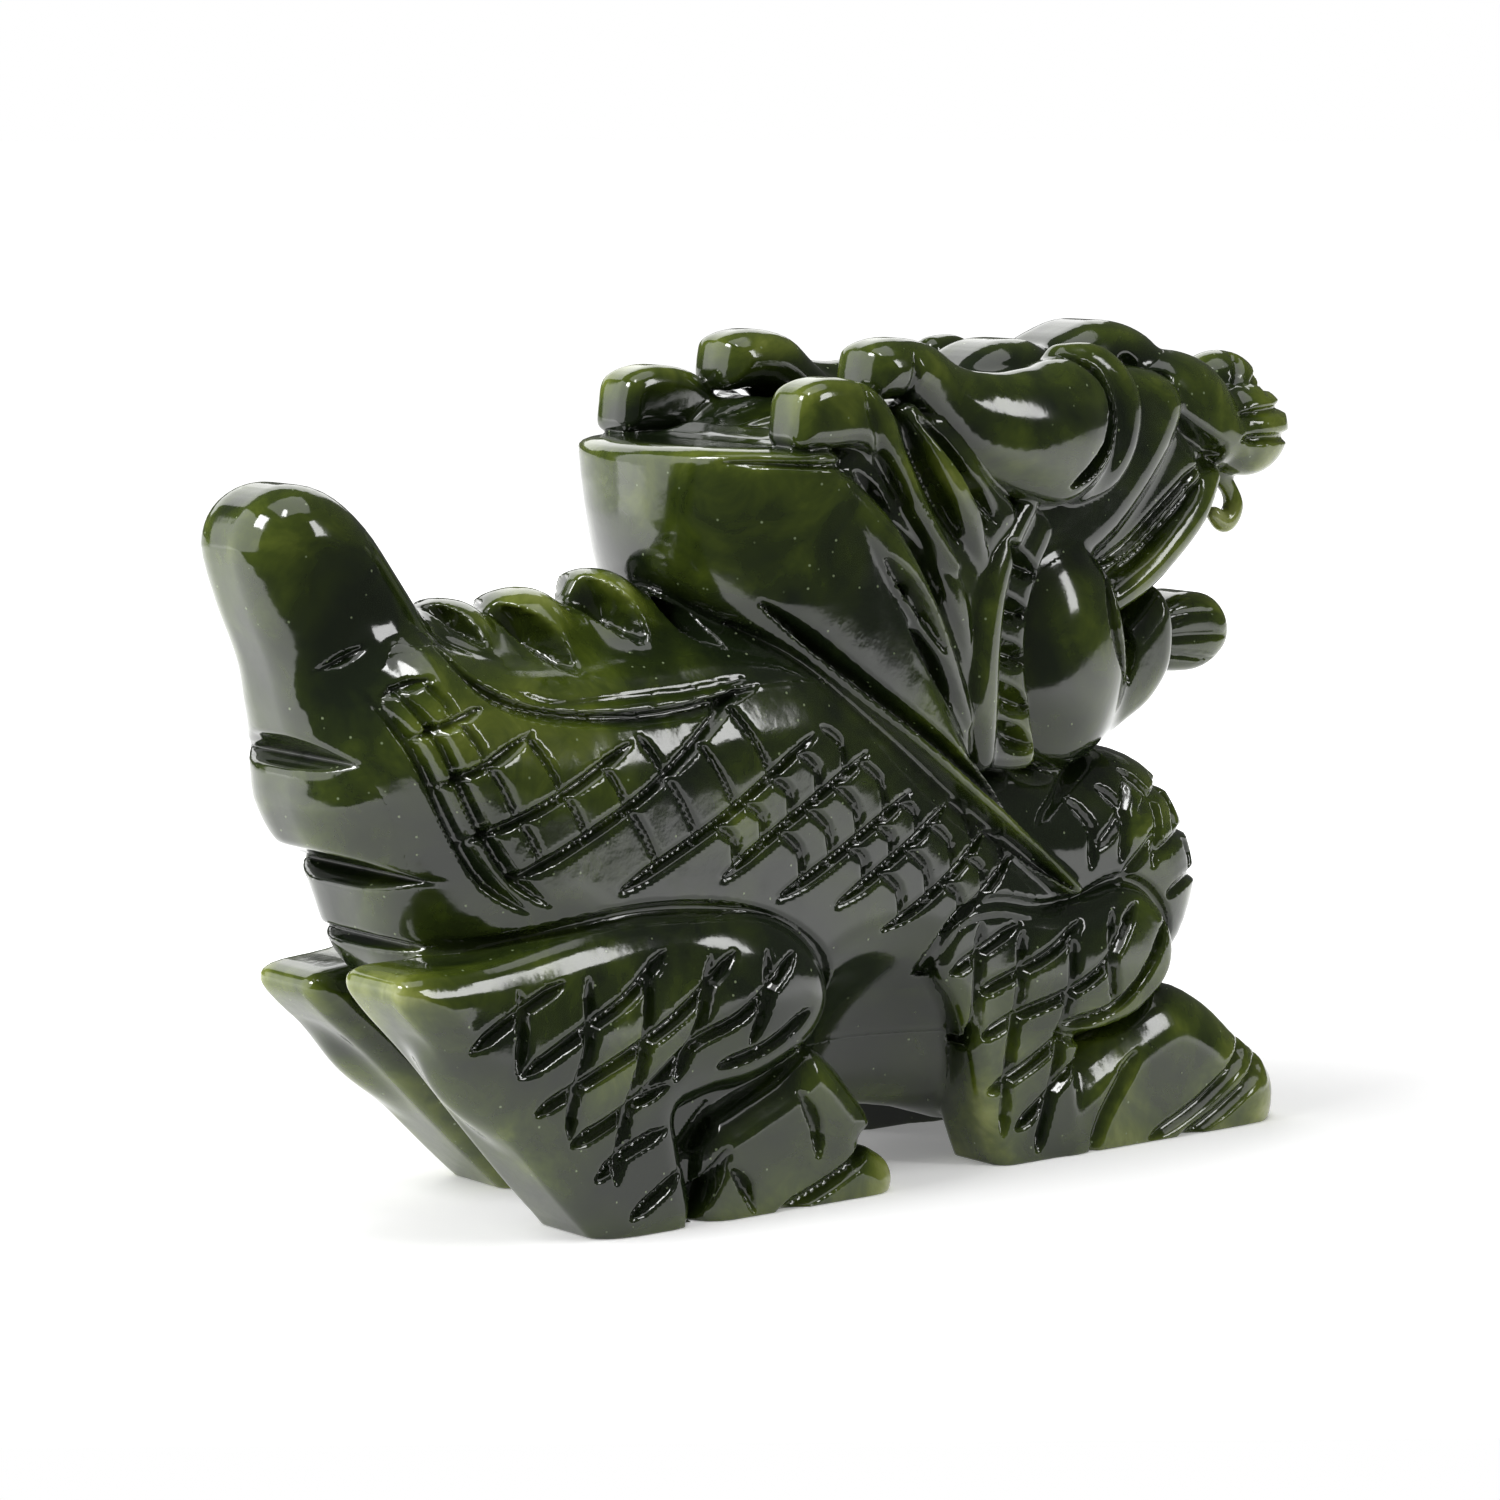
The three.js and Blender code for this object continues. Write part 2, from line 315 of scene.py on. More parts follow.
TORSO = [
    (-26.0, 13.0), (-30.5, 16.5), (-33.4, 22.0), (-36.6, 28.0), (-37.0, 33.0), (-33.0, 36.8),
    (-28.0, 35.8), (-22.0, 34.9), (-16.0, 35.2), (-10.0, 36.0), (-4.0, 36.0), (2.0, 33.0),
    (9.0, 27.0), (15.0, 22.5), (19.0, 17.0), (16.0, 10.5), (8.0, 7.0), (0.0, 5.6), (-8.0, 5.8),
    (-16.0, 7.5), (-22.0, 10.0),
]
CREST = [
    (-30.4, 36.6), (-27.6, 38.0), (-25.6, 38.0), (-24.0, 37.2), (-22.4, 38.2), (-20.2, 38.4),
    (-18.0, 37.4), (-16.6, 39.0), (-14.6, 39.2), (-12.4, 38.0), (-10.0, 37.6), (-7.6, 37.4),
    (-4.0, 36.8), (-1.0, 34.5), (-6.0, 31.6), (-12.0, 30.4), (-20.0, 30.2), (-27.0, 31.6),
]
BELLY = [(-21.0, 13.5), (-20.5, 7.0), (-13.0, 5.6), (-4.0, 5.4), (4.0, 4.2), (12.0, 1.8),
         (22.0, 3.0), (24.0, 9.0), (12.0, 15.0), (-6.0, 14.0)]
CHEST = [
    (6.0, 16.0), (8.0, 24.0), (12.0, 26.2), (17.0, 25.4), (22.0, 25.8), (26.0, 24.6),
    (28.6, 22.0), (30.2, 18.6), (30.4, 15.4), (28.0, 11.0), (22.0, 7.6), (14.0, 6.0), (8.0, 9.0),
]
HAUNCH = [
    (-36.9, 16.4), (-36.0, 17.4), (-32.0, 17.5), (-28.0, 17.9), (-24.0, 18.6), (-20.0, 19.0),
    (-16.0, 18.9), (-12.4, 18.4), (-9.0, 17.3), (-6.2, 15.4), (-5.0, 13.0), (-6.0, 10.9),
    (-8.4, 9.5), (-11.4, 8.4), (-14.4, 8.0), (-16.6, 7.4), (-16.4, 5.0), (-15.6, 1.6),
    (-15.4, -2.0), (-18.0, -2.6), (-21.2, -1.6), (-23.6, 0.8), (-25.8, 3.2), (-29.3, 7.3),
    (-32.8, 11.5), (-35.8, 14.7),
]
SHANK = [(-20.0, 9.0), (-14.0, 9.6), (-8.0, 10.0), (-7.0, 7.0), (-9.0, 2.0), (-11.0, -2.4),
         (-20.0, -2.4)]
HIND_FOOT = [
    (-14.6, 5.4), (-12.0, 6.9), (-9.0, 8.2), (-6.4, 9.8), (-4.6, 8.8), (-2.9, 6.9), (-1.3, 4.6),
    (-2.2, 3.4), (-1.0, 2.7), (0.2, 1.8), (0.5, 0.4), (-0.6, -1.6), (-3.0, -2.6), (-9.0, -2.8),
    (-14.6, -2.6), (-15.0, 1.6),
]
FORELEG = [
    (4.6, 13.4), (5.8, 16.2), (9.0, 16.9), (13.0, 16.1), (16.8, 15.9), (20.4, 17.0),
    (23.2, 16.0), (24.9, 13.2), (24.2, 10.4), (21.6, 8.6), (18.2, 7.9), (16.6, 6.4),
    (16.8, 3.0), (17.4, 0.0), (16.6, -2.2), (12.0, -2.6), (10.4, -1.2), (8.4, 3.6), (7.5, 7.6),
    (6.4, 10.8),
]
PAW = [
    (15.0, 5.2), (19.4, 7.6), (23.0, 9.4), (26.0, 9.9), (29.2, 8.4), (32.2, 5.9), (34.4, 4.2),
    (35.4, 2.2), (35.0, -0.4), (33.0, -2.2), (24.0, -2.8), (14.0, -2.6), (13.0, 1.0),
]
MANE = [
    (-13.6, 46.4), (-13.8, 43.0), (-13.6, 39.6), (-11.4, 37.4), (-7.2, 34.0), (-2.4, 30.2),
    (2.4, 26.6), (7.4, 22.8), (12.0, 19.2), (15.6, 17.0), (17.6, 18.4), (15.0, 23.0),
    (12.0, 28.0), (9.6, 34.0), (7.0, 40.0), (3.0, 44.6), (-2.0, 46.6), (-8.0, 46.8),
]
LOCKS = [
    (-4.4, 44.0), (-2.4, 47.4), (1.0, 49.0), (5.4, 47.8), (9.0, 44.8), (11.6, 41.8),
    (9.4, 38.4), (8.2, 34.0), (8.0, 29.6), (7.6, 26.4), (5.0, 27.8), (2.6, 31.6), (-0.4, 37.0),
]
HORN = [(-7.3, 46.9), (-7.4, 48.6), (-7.0, 50.2), (-5.6, 50.9), (-3.6, 51.0), (-1.4, 50.4),
        (0.2, 48.9), (1.4, 46.2), (3.4, 42.6), (5.8, 39.0), (4.6, 38.8), (1.6, 42.4),
        (-0.2, 45.2), (-2.2, 46.7), (-5.0, 46.7)]
BROW = [
    (-0.5, 49.4), (-0.6, 52.0), (0.2, 52.9), (2.4, 53.2), (5.0, 52.6), (7.0, 51.0), (9.4, 49.6),
    (12.4, 50.0), (15.0, 51.2), (17.4, 51.3), (19.3, 50.2), (20.2, 47.6), (19.4, 44.7),
    (17.2, 42.7), (14.4, 42.2), (10.6, 43.8), (8.2, 45.6), (5.6, 47.7), (3.0, 49.4),
]
FRILL = [
    (12.8, 42.4), (10.4, 40.6), (8.7, 37.6), (7.9, 34.0), (7.9, 30.0), (8.0, 26.4), (10.6, 25.4),
    (13.6, 25.6), (13.4, 28.6), (12.9, 32.0), (13.1, 35.2), (14.0, 38.0), (15.2, 40.8),
]
SKULL = [
    (-7.0, 43.0), (-6.6, 46.6), (-1.0, 48.2), (5.0, 49.4), (12.0, 50.2), (19.0, 50.6),
    (26.0, 50.4), (28.4, 48.0), (26.6, 44.0), (22.6, 39.6), (17.4, 36.0), (12.0, 29.0),
    (8.0, 28.0), (3.0, 34.0), (-2.0, 40.0),
]
FOREHEAD = [
    (10.0, 48.0), (13.0, 50.9), (15.4, 52.2), (18.0, 52.4), (19.8, 51.9), (21.4, 52.6),
    (24.0, 53.4), (26.6, 53.2), (28.8, 52.2), (29.6, 50.8), (28.2, 49.0), (20.0, 46.0),
]
SNOUT = [
    (20.0, 43.0), (24.0, 48.4), (26.6, 50.4), (28.8, 51.3), (31.0, 51.2), (33.2, 50.2),
    (34.9, 48.2), (36.4, 45.6), (35.8, 43.4), (33.4, 43.2), (31.9, 42.0), (29.9, 39.3),
    (27.2, 37.2), (24.8, 35.5), (22.6, 34.3), (20.6, 35.4), (19.4, 38.6),
]
JAW = [
    (12.6, 37.6), (16.4, 38.6), (19.2, 36.4), (20.8, 33.4), (22.8, 33.0), (25.0, 34.8),
    (26.8, 36.2), (28.3, 34.2), (28.2, 30.8), (26.5, 28.4), (24.2, 27.0), (21.6, 25.8),
    (17.6, 25.4), (13.0, 25.2), (10.4, 27.0), (10.4, 32.0),
]
TONGUE = [
    (22.6, 33.4), (26.0, 31.4), (28.6, 30.2), (31.4, 29.7), (34.2, 29.8), (36.2, 31.2),
    (36.3, 33.2), (34.8, 34.7), (32.2, 34.9), (29.2, 34.0), (26.4, 34.6), (24.0, 35.8),
]
shape = {
    name: outline_distance(points)
    for name, points in {
        "tail": TAIL, "tail_root": TAIL_ROOT, "torso": TORSO, "crest": CREST, "belly": BELLY,
        "chest": CHEST, "haunch": HAUNCH, "foreleg": FORELEG, "paw": PAW,
        "mane": MANE, "locks": LOCKS, "horn": HORN, "brow": BROW, "frill": FRILL,
        "skull": SKULL, "forehead": FOREHEAD, "snout": SNOUT, "jaw": JAW, "tongue": TONGUE,
    }.items()
}
print("outlines measured:", len(shape))

# %% [markdown]
# ## Tail
#
# The tail stands up behind like a blade with a broad, round back. Three notches are filed right
# across its rear edge. Below it swells into the hips.

# %% Carve the tail
NOTCHES = [(-36.0, 29.3, 4.2, -1.2), (-31.4, 22.2, 2.2, -1.5), (-30.8, 18.0, 1.8, -0.9)]


def file_notches(block):
    """Cuts three wedges right across the rear edge."""
    for x, z, above, below in NOTCHES:
        wedge = outline_distance([(x, z), (x - 7.0, z + above), (x - 7.0, z + below)], 1)
        block.cut(slab(block, wedge, -12.0, 12.0, edge=0.3, crown=0.3), melt=0.25)


def carve_tail():
    """Blade and root, joined with a wide fillet and notched."""
    b = Block((-43.4, -20.0), (11.0, 47.5), (0.0, 10.5))
    b.plate(shape["tail"], -4.7, 4.7, edge=3.4, crown=3.6)
    b.plate(shape["tail_root"], -7.4, 7.4, edge=5.0, crown=5.0, melt=3.5)
    file_notches(b)
    b.lines([[(-38.4, 34.8), (-36.8, 35.6), (-35.2, 36.3)]], half=0.42, depth=0.4, w_from=1.5)
    return b


# %% [markdown]
# ## Body
#
# The body is a barrel that narrows to the ridge of the back. A row of long cuts runs up the flank
# towards the head, and short cuts across them turn the strips into scales. Nearer the chest the
# short cuts are bowed and set like bricks, which makes round fish scales.

# %% Flank scales
FLANK_CUTS = [
    [(-35.6, 33.2), (-34.2, 33.9), (-32.4, 34.4)],
    [(-34.6, 30.9), (-32.4, 31.7), (-29.6, 32.6)],
    [(-33.0, 28.0), (-30.0, 29.3), (-26.4, 30.9)],
    [(-31.2, 24.6), (-26.5, 26.4), (-23.0, 27.9), (-19.2, 29.8)],
    [(-28.5, 22.1), (-21.7, 25.1), (-17.1, 27.7), (-10.6, 32.4)],
    [(-20.9, 20.9), (-13.0, 24.6), (-5.6, 29.3)],
    [(-13.2, 20.9), (-8.9, 23.4), (-1.2, 27.8)],
    [(-8.9, 19.3), (-4.9, 21.1), (2.2, 25.0)],
    [(-4.3, 18.4), (-0.9, 20.1), (5.4, 23.9)],
    [(-0.5, 16.4), (3.2, 18.1), (8.6, 21.8)],
    [(4.4, 15.6), (6.8, 17.2), (10.9, 20.2)],
]
CUT_SLOPE = math.radians(32.0)
BRICK = 3.3  # length of a scale along the long cuts
FIRST_ROUND_ROW = 5
BORDER = [(-31.0, 36.0), (-29.4, 33.6), (-26.0, 31.9), (-20.0, 31.1), (-14.0, 31.3), (-9.4, 32.3)]
BELLY_TOP = 9.0  # the belly is a piece of its own below this height
ELBOW = 13.0  # below this height, no groove parts the foreleg from the belly


def turned(points, angle):
    """Points turned clockwise by an angle, so that the long cuts lie level."""
    c, s = math.cos(angle), math.sin(angle)
    p = np.array(points, float)
    return np.stack([p[:, 0] * c + p[:, 1] * s, p[:, 1] * c - p[:, 0] * s], 1)


def cross_cuts():
    """Short cuts between neighbouring long cuts: in line at first, then set like bricks."""
    cuts = []
    rows = [turned(rounded(cut, 6, closed=False), CUT_SLOPE) for cut in FLANK_CUTS]
    for number, (upper, lower) in enumerate(zip(rows[:-1], rows[1:])):
        start = max(upper[0, 0], lower[0, 0]) + 0.4
        stop = min(upper[-1, 0], lower[-1, 0]) + 0.8
        is_round = number >= FIRST_ROUND_ROW
        pitch, bow = (BRICK - 0.8, 0.8) if is_round else (BRICK, 0.1)
        shift = pitch / 2 if is_round and number % 2 else 0.0
        first = math.ceil((start - shift) / pitch) * pitch + shift
        for u in np.arange(first, stop, pitch):
            top = np.interp(u, upper[:, 0], upper[:, 1]) + 0.1
            low = np.interp(u, lower[:, 0], lower[:, 1]) - 0.1
            path = [(u, top), (u + bow, (top + low) / 2), (u - 0.1, low)]
            cuts.append(turned(path, -CUT_SLOPE))
    return cuts


def carve_body():
    """Barrel, crest and belly; then pits along the crest, scales and border lines."""
    b = Block((-40.0, 26.0), (0.0, 40.4), (0.0, 13.0))
    b.plate(shape["torso"], -10.2, 10.2, edge=9.0, crown=7.4)
    b.plate(shape["belly"], -6.6, 6.6, edge=4.0, crown=4.0, melt=4.0)
    b.plate(shape["crest"], -5.6, 5.6, edge=5.8, crown=5.4, melt=0.8)
    b.cut(ball(b, (0.6, 13.6, 4.6), (9.6, 9.0, 11.4)), melt=2.5)
    file_notches(b)
    for limb in ("haunch", "foreleg"):
        b.engrave(np.clip(-shape[limb], 0.0, 1.8), w_from=5.0)
    for x, z, width in [(-26.6, 35.6, 0.8), (-21.0, 33.9, 1.15), (-15.2, 35.3, 1.2),
                        (-10.3, 34.5, 0.9)]:
        gullet = [(x - 2.6 * width, z + 3.2 * width), (x - 1.3 * width, z + 1.9 * width), (x, z)]
        b.lines([gullet], half=width, depth=2.4 * width, lift=1.8, w_from=0.4)
    along = stroke_map(FLANK_CUTS, half=0.45, depth=0.7, lift=2.4)
    across = stroke_map(cross_cuts(), half=0.36, depth=0.5, lift=0.8)
    b.engrave(np.maximum(along, across), w_from=4.5)
    over_border = [(-27.2, 33.4), (-24.0, 32.2), (-19.0, 32.2), (-13.6, 32.4), (-9.8, 32.9)]
    b.lines([BORDER], half=0.5, depth=0.7, lift=4.0, w_from=2.0)
    b.lines([over_border], half=0.32, depth=0.2, w_from=2.0)
    hip = [(-36.3, 33.9), (-34.4, 30.9), (-31.8, 25.9), (-29.5, 22.3), (-27.0, 20.2)]
    beside = [(x + 1.4, z + 0.3) for x, z in hip]
    b.lines([hip, beside], half=0.5, depth=0.65, lift=3.0, w_from=2.0)
    b.engrave(moat(shape["haunch"], 0.6, 0.6, 0.5), w_from=5.0)
    b.engrave(moat(shape["foreleg"], 0.6, 0.5, 0.4) * (flat_z > ELBOW), w_from=5.0)
    return b


# %% [markdown]
# ## Chest
#
# The chest swells forward between the forelegs. Curved cuts make its scales, and because a cut is
# the same at every w, the same strokes run round the front as level bands.

# %% Carve the chest
def carve_chest():
    """A thick, well rounded slab with bowed scale cuts."""
    b = Block((1.0, 34.0), (2.0, 29.0), (0.0, 11.5))
    b.plate(shape["chest"], -8.7, 8.7, edge=6.0, crown=5.6)
    cuts = [
        [(11.5, 26.5), (14.7, 25.2), (19.9, 26.1)],
        [(13.6, 21.6), (17.3, 23.7), (20.6, 25.4)],
        [(16.9, 23.0), (18.4, 20.9), (18.2, 18.4)],
        [(19.6, 23.6), (21.3, 21.6), (20.8, 18.6)],
        [(18.6, 19.6), (21.0, 21.6), (22.6, 24.0)],
        [(22.2, 24.4), (24.4, 21.8), (23.6, 18.0)],
        [(20.8, 17.5), (23.1, 19.4), (24.6, 20.8)],
        [(22.6, 21.6), (25.8, 22.8), (29.0, 23.0)],
        [(23.4, 18.6), (26.8, 19.8), (30.6, 20.0)],
        [(24.8, 16.0), (27.6, 16.9), (31.0, 16.9)],
        [(25.6, 23.8), (26.8, 21.6), (26.0, 19.8)],
        [(27.2, 19.6), (28.2, 18.2), (27.6, 16.8)],
    ]
    b.lines(cuts, half=0.5, depth=0.5, lift=1.0)
    b.engrave(moat(shape["foreleg"], 0.6, 0.5, 0.4), w_from=4.0)
    b.engrave(np.clip(-shape["foreleg"], 0.0, 1.5), w_from=4.0)
    return b


# %% [markdown]
# ## Hind legs
#
# Each haunch is a flat, crisp-edged shield with a rounded knee, cross-hatched into diamonds. The
# foot grows from under the knee, and one bur cut parts its toes. The left leg stands a little
# further forward than the right one, so the leg is carved twice with a different step.

# %% Carve a hind leg
HIND_STEP = {"right": 0.0, "left": 4.8}
HIND_TURN = {"right": 0.0, "left": math.radians(5.0)}
HAUNCH_CUTS = [
    [(-29.0, 16.0), (-28.7, 14.3), (-29.2, 10.9)],
    [(-24.0, 16.3), (-24.3, 12.2), (-25.1, 9.4), (-25.3, 6.6)],
    [(-19.4, 16.6), (-20.1, 11.7), (-21.1, 7.6), (-21.9, 3.4)],
    [(-14.8, 16.6), (-15.4, 13.5), (-16.9, 10.7), (-17.8, 9.2)],
    [(-10.7, 16.6), (-10.9, 14.0), (-12.1, 10.8)],
    [(-32.4, 12.7), (-28.7, 14.8), (-25.6, 16.2)],
    [(-29.0, 10.9), (-24.8, 13.1), (-21.3, 14.8), (-18.0, 17.3)],
    [(-28.0, 8.4), (-25.3, 9.7), (-20.5, 11.8), (-16.4, 13.9), (-13.0, 16.7)],
    [(-25.3, 6.2), (-21.3, 7.9), (-16.5, 11.3), (-12.8, 12.8), (-8.4, 16.2)],
    [(-23.5, 3.8), (-21.3, 5.2), (-18.0, 6.4)],
    [(-21.3, 8.1), (-18.0, 9.2)],
    [(-20.9, 1.2), (-18.9, 2.3), (-17.0, 3.6)],
    [(-14.4, 9.7), (-10.7, 10.6), (-7.2, 12.6)],
]


def carve_hind_leg(side):
    """Shield, knee, shank and foot, turned and moved forward by the side's amounts."""
    c, s = math.cos(HIND_TURN[side]), math.sin(HIND_TURN[side])

    def placed(points):
        """Points turned about the shank and moved ahead; anything after x and z is kept."""
        return [((x + 12) * c - z * s - 12 + HIND_STEP[side], (x + 12) * s + z * c, *rest)
                for x, z, *rest in points]

    def ball_at(x, w, z, radii):
        """An ellipsoid at a placed centre."""
        (x, z), = placed([(x, z)])
        return ball(b, (x, w, z), radii)

    b = Block((-41.0, 9.0), (-1.0, 23.0), (1.5, 13.6))
    haunch = outline_distance(placed(HAUNCH))
    b.plate(haunch, 3.6, 11.2, edge=2.2, crown=1.6)
    b.add(ball_at(-11.4, 8.7, 13.6, (6.4, 3.4, 5.2)), melt=1.2)
    b.add(ball_at(-22.6, 8.4, 12.2, (11.0, 3.5, 6.0)), melt=1.5)
    b.lines(map(placed, HAUNCH_CUTS), half=0.52, depth=0.8, lift=1.3, w_from=6.0)
    b.plate(outline_distance(placed(SHANK)), 4.0, 9.2, edge=1.6, crown=1.4)
    b.plate(outline_distance(placed(HIND_FOOT)), 4.6, 11.2, edge=2.2, crown=2.0, melt=0.4)
    lines = [
        [(-9.8, -0.2), (-5.2, 1.4), (-1.2, 3.4)],
        [(-7.8, 7.3), (-6.5, 5.2), (-6.4, 3.0)],
        [(-16.6, -0.2), (-14.8, 1.5), (-13.2, 4.6)],
        [(-13.2, 3.3), (-11.9, 1.8), (-11.4, 0.2)],
        [(-16.6, 3.6), (-14.6, 5.4), (-13.4, 7.2)],
    ]
    b.lines(map(placed, lines), half=0.6, depth=0.8, w_from=5.5)
    return b


# %% [markdown]
# ## Forelegs
#
# The upper arm is a rounded lobe over a straight leg, hatched like the haunch. The paw is a smooth
# wedge, with two cuts at its tip for the toes.

# %% Carve a foreleg
def carve_foreleg():
    """Leg slab with a swelling shoulder, joined to the paw."""
    b = Block((0.0, 38.5), (-1.0, 20.0), (1.0, 12.6))
    b.plate(shape["foreleg"], 4.4, 9.8, edge=1.1, crown=1.1)
    b.lump((16.8, 7.6, 12.2), (8.0, 2.9, 4.6), melt=1.4)
    cuts = [
        [(8.0, 16.1), (7.8, 11.6), (7.6, 7.9)],
        [(11.4, 15.2), (11.2, 10.9), (10.5, 7.0), (9.9, 2.0)],
        [(15.5, 14.6), (15.1, 9.9), (14.4, 5.5), (12.8, 0.6)],
        [(19.0, 15.8), (18.7, 12.1), (19.3, 9.4)],
        [(5.4, 13.0), (7.8, 14.1), (11.3, 15.7)],
        [(7.6, 11.4), (10.8, 12.5), (13.8, 13.7), (16.2, 15.4)],
        [(8.0, 8.6), (11.2, 9.8), (15.3, 11.0), (18.3, 12.6), (21.2, 16.1)],
        [(14.2, 8.6), (18.4, 9.2), (20.7, 10.4), (22.6, 12.3), (24.1, 14.7)],
        [(8.6, 5.0), (12.3, 6.5), (15.4, 8.2)],
        [(10.9, 2.3), (13.5, 4.0), (16.5, 6.3)],
    ]
    b.lines(cuts, half=0.52, depth=0.75, lift=1.2, w_from=5.0)
    b.plate(shape["paw"], 3.8, 9.9, edge=3.6, crown=3.2, melt=0.5)
    lines = [
        [(14.0, 8.4), (17.2, 7.6), (21.0, 8.0), (24.6, 10.6), (26.2, 12.6)],
        [(17.4, -0.6), (18.6, 2.4), (21.6, 6.2)],
        [(22.4, 0.2), (27.2, 2.2), (32.6, 5.8)],
        [(24.8, -0.4), (29.0, 1.4), (34.2, 4.6)],
    ]
    b.lines(lines, half=0.6, depth=0.7, w_from=2.0)
    return b


# %% [markdown]
# ## Mane
#
# The back of the head is one smooth drum, round in plan, with a sawn flat top. The corner at its
# side slants forward as it comes down, so the plan is a half ellipse that grows longer below. Two
# cuts make the collar where the drum meets the shoulders.

# %% Carve the mane
MANE_HALF = 10.9
CORNER_Z = [16.0, 18.0, 22.0, 26.9, 30.8, 34.1, 37.3, 41.1, 44.3, 48.0]
CORNER_X = [16.6, 14.6, 9.8, 5.2, 3.0, 0.8, -1.2, -2.6, -4.6, -6.0]


def carve_mane():
    """The mane's slab, kept inside a half ellipse in plan whose corner slants."""
    b = Block((-15.6, 20.0), (14.0, 48.6), (0.0, 12.4))
    corner = np.interp(b.z, CORNER_Z, CORNER_X)
    back = -13.0 + 0.035 * np.minimum(b.z - 42.5, 0.0) ** 2  # drawn in towards the shoulders
    behind = np.maximum(corner - b.x, 0.0) / np.maximum(corner - back, 2.0)
    ahead = np.maximum(b.x - corner, 0.0) / 3.4
    plan = (np.sqrt(behind**2 + ahead**2 + (b.w / MANE_HALF) ** 2) - 1.0) * 3.4
    b.add(-join(-plan, -slab(b, shape["mane"], -20.0, 20.0, edge=0.9, crown=0.9), 0.8))
    b.lines([[(-11.0, 46.0), (-2.0, 45.6)]], half=0.3, depth=0.15, w_from=3.0)
    collar = [(-9.4, 36.2), (-7.7, 34.9), (-3.0, 31.1), (1.8, 27.6), (6.8, 23.7), (11.8, 20.1),
              (15.4, 17.5)]
    above = [(x + 0.9, z + 1.2) for x, z in collar]
    b.lines([collar, above], half=0.5, depth=0.55, lift=4.0, w_from=3.0)
    return b


# %% [markdown]
# ## Horns and locks of hair
#
# On each side of the head, a blunt horn lies back over the mane, and locks of hair fan out below
# it, from the upper back to the lower front. They are leaf-shaped ridges with deep leaf-shaped
# hollows between them.

# %% Carve the locks
def carve_locks():
    """A base slab, tapering rods for the ridges, and wide strokes for the hollows."""
    b = Block((-9.5, 15.0), (24.0, 52.6), (3.0, 13.2))
    b.plate(shape["locks"], 4.0, 9.6, edge=1.6, crown=1.4)
    ridges = [
        [(2.2, 9.0, 48.4, 0.9), (4.2, 9.6, 45.6, 1.2), (6.4, 9.6, 42.4, 1.1),
         (8.4, 9.0, 38.6, 0.5)],
        [(4.8, 8.4, 47.6, 1.0), (7.4, 8.8, 44.6, 1.0), (10.0, 8.6, 41.8, 0.6)],
        [(-3.8, 9.8, 44.2, 1.1), (-0.9, 10.1, 41.0, 1.4), (2.0, 10.0, 37.0, 1.3),
         (4.8, 9.6, 33.0, 0.9), (7.0, 9.2, 29.0, 0.5)],
        [(-1.4, 10.0, 38.6, 0.6), (1.4, 9.9, 34.2, 1.0), (4.2, 9.6, 30.2, 0.8),
         (6.8, 9.2, 26.8, 0.4)],
        [(4.0, 9.4, 40.4, 0.8), (5.8, 9.4, 36.6, 0.9), (7.2, 9.1, 32.0, 0.5)],
    ]
    for ridge in ridges:
        b.rod(ridge, melt=0.4)
    b.plate(shape["horn"], 6.8, 10.9, edge=1.2, crown=1.3, melt=0.4)
    hollows = [
        [(1.2, 48.9), (2.9, 45.6), (4.3, 43.2), (6.1, 40.3)],
        [(2.4, 48.4), (5.0, 46.0), (7.0, 43.4), (8.4, 41.0)],
        [(5.8, 45.4), (7.4, 43.4), (9.2, 41.4)],
        [(-2.4, 45.2), (-1.0, 43.9), (0.6, 42.2)],
        [(-0.2, 42.3), (1.7, 40.4), (3.4, 38.5), (4.6, 36.2)],
        [(-1.2, 40.0), (1.4, 37.4), (4.3, 33.6)],
        [(1.0, 35.6), (3.0, 33.2), (5.3, 30.0)],
        [(2.6, 31.2), (3.8, 29.4), (5.6, 27.8)],
    ]
    b.lines(hollows, half=0.66, depth=1.0, lift=3.0, w_from=6.5)
    slit = [(-2.4, 50.6), (-1.9, 48.6), (-0.4, 45.8), (1.6, 42.8)]
    b.lines([slit], half=0.5, depth=0.3, w_from=7.0)
    return b


# %% [markdown]
# ## Brows and eyes
#
# The brow is a big comma. Its tail curls up and back, and its head is the bulging eye, with one
# crescent cut in front of it and a rounded eyelid beyond the cut.

# %% Carve a brow
def carve_brow():
    """Comma-shaped slab, an eye ball, an eyelid rod, and the crescent between them."""
    b = Block((-2.6, 26.0), (39.0, 54.6), (2.0, 12.8))
    b.plate(shape["brow"], 4.6, 9.9, edge=2.0, crown=2.2)
    comma = [(3.6, 8.2, 50.6, 1.4), (6.6, 8.4, 49.0, 2.2), (10.0, 8.5, 47.4, 3.4),
             (12.8, 8.4, 46.8, 4.2), (14.6, 8.2, 46.8, 4.4)]
    b.rod(comma, squash=0.66, melt=0.8)
    crescent = [(16.3, 51.6), (18.3, 50.2), (18.9, 48.2), (18.2, 46.0), (16.8, 44.6), (14.9, 43.4)]
    b.lines([crescent], half=0.7, depth=1.1, lift=2.4, w_from=5.0)
    lid = [(17.2, 6.4, 51.2, 1.1), (19.6, 6.9, 50.8, 1.4), (21.3, 7.2, 48.8, 1.55),
           (21.3, 7.3, 46.4, 1.5), (20.0, 7.4, 44.2, 1.4), (17.8, 7.6, 43.0, 1.0)]
    b.rod(lid, melt=0.8)
    b.lines([[(2.4, 52.6), (2.4, 51.0), (2.5, 49.0)]], half=0.42, depth=0.35, w_from=7.0)
    return b


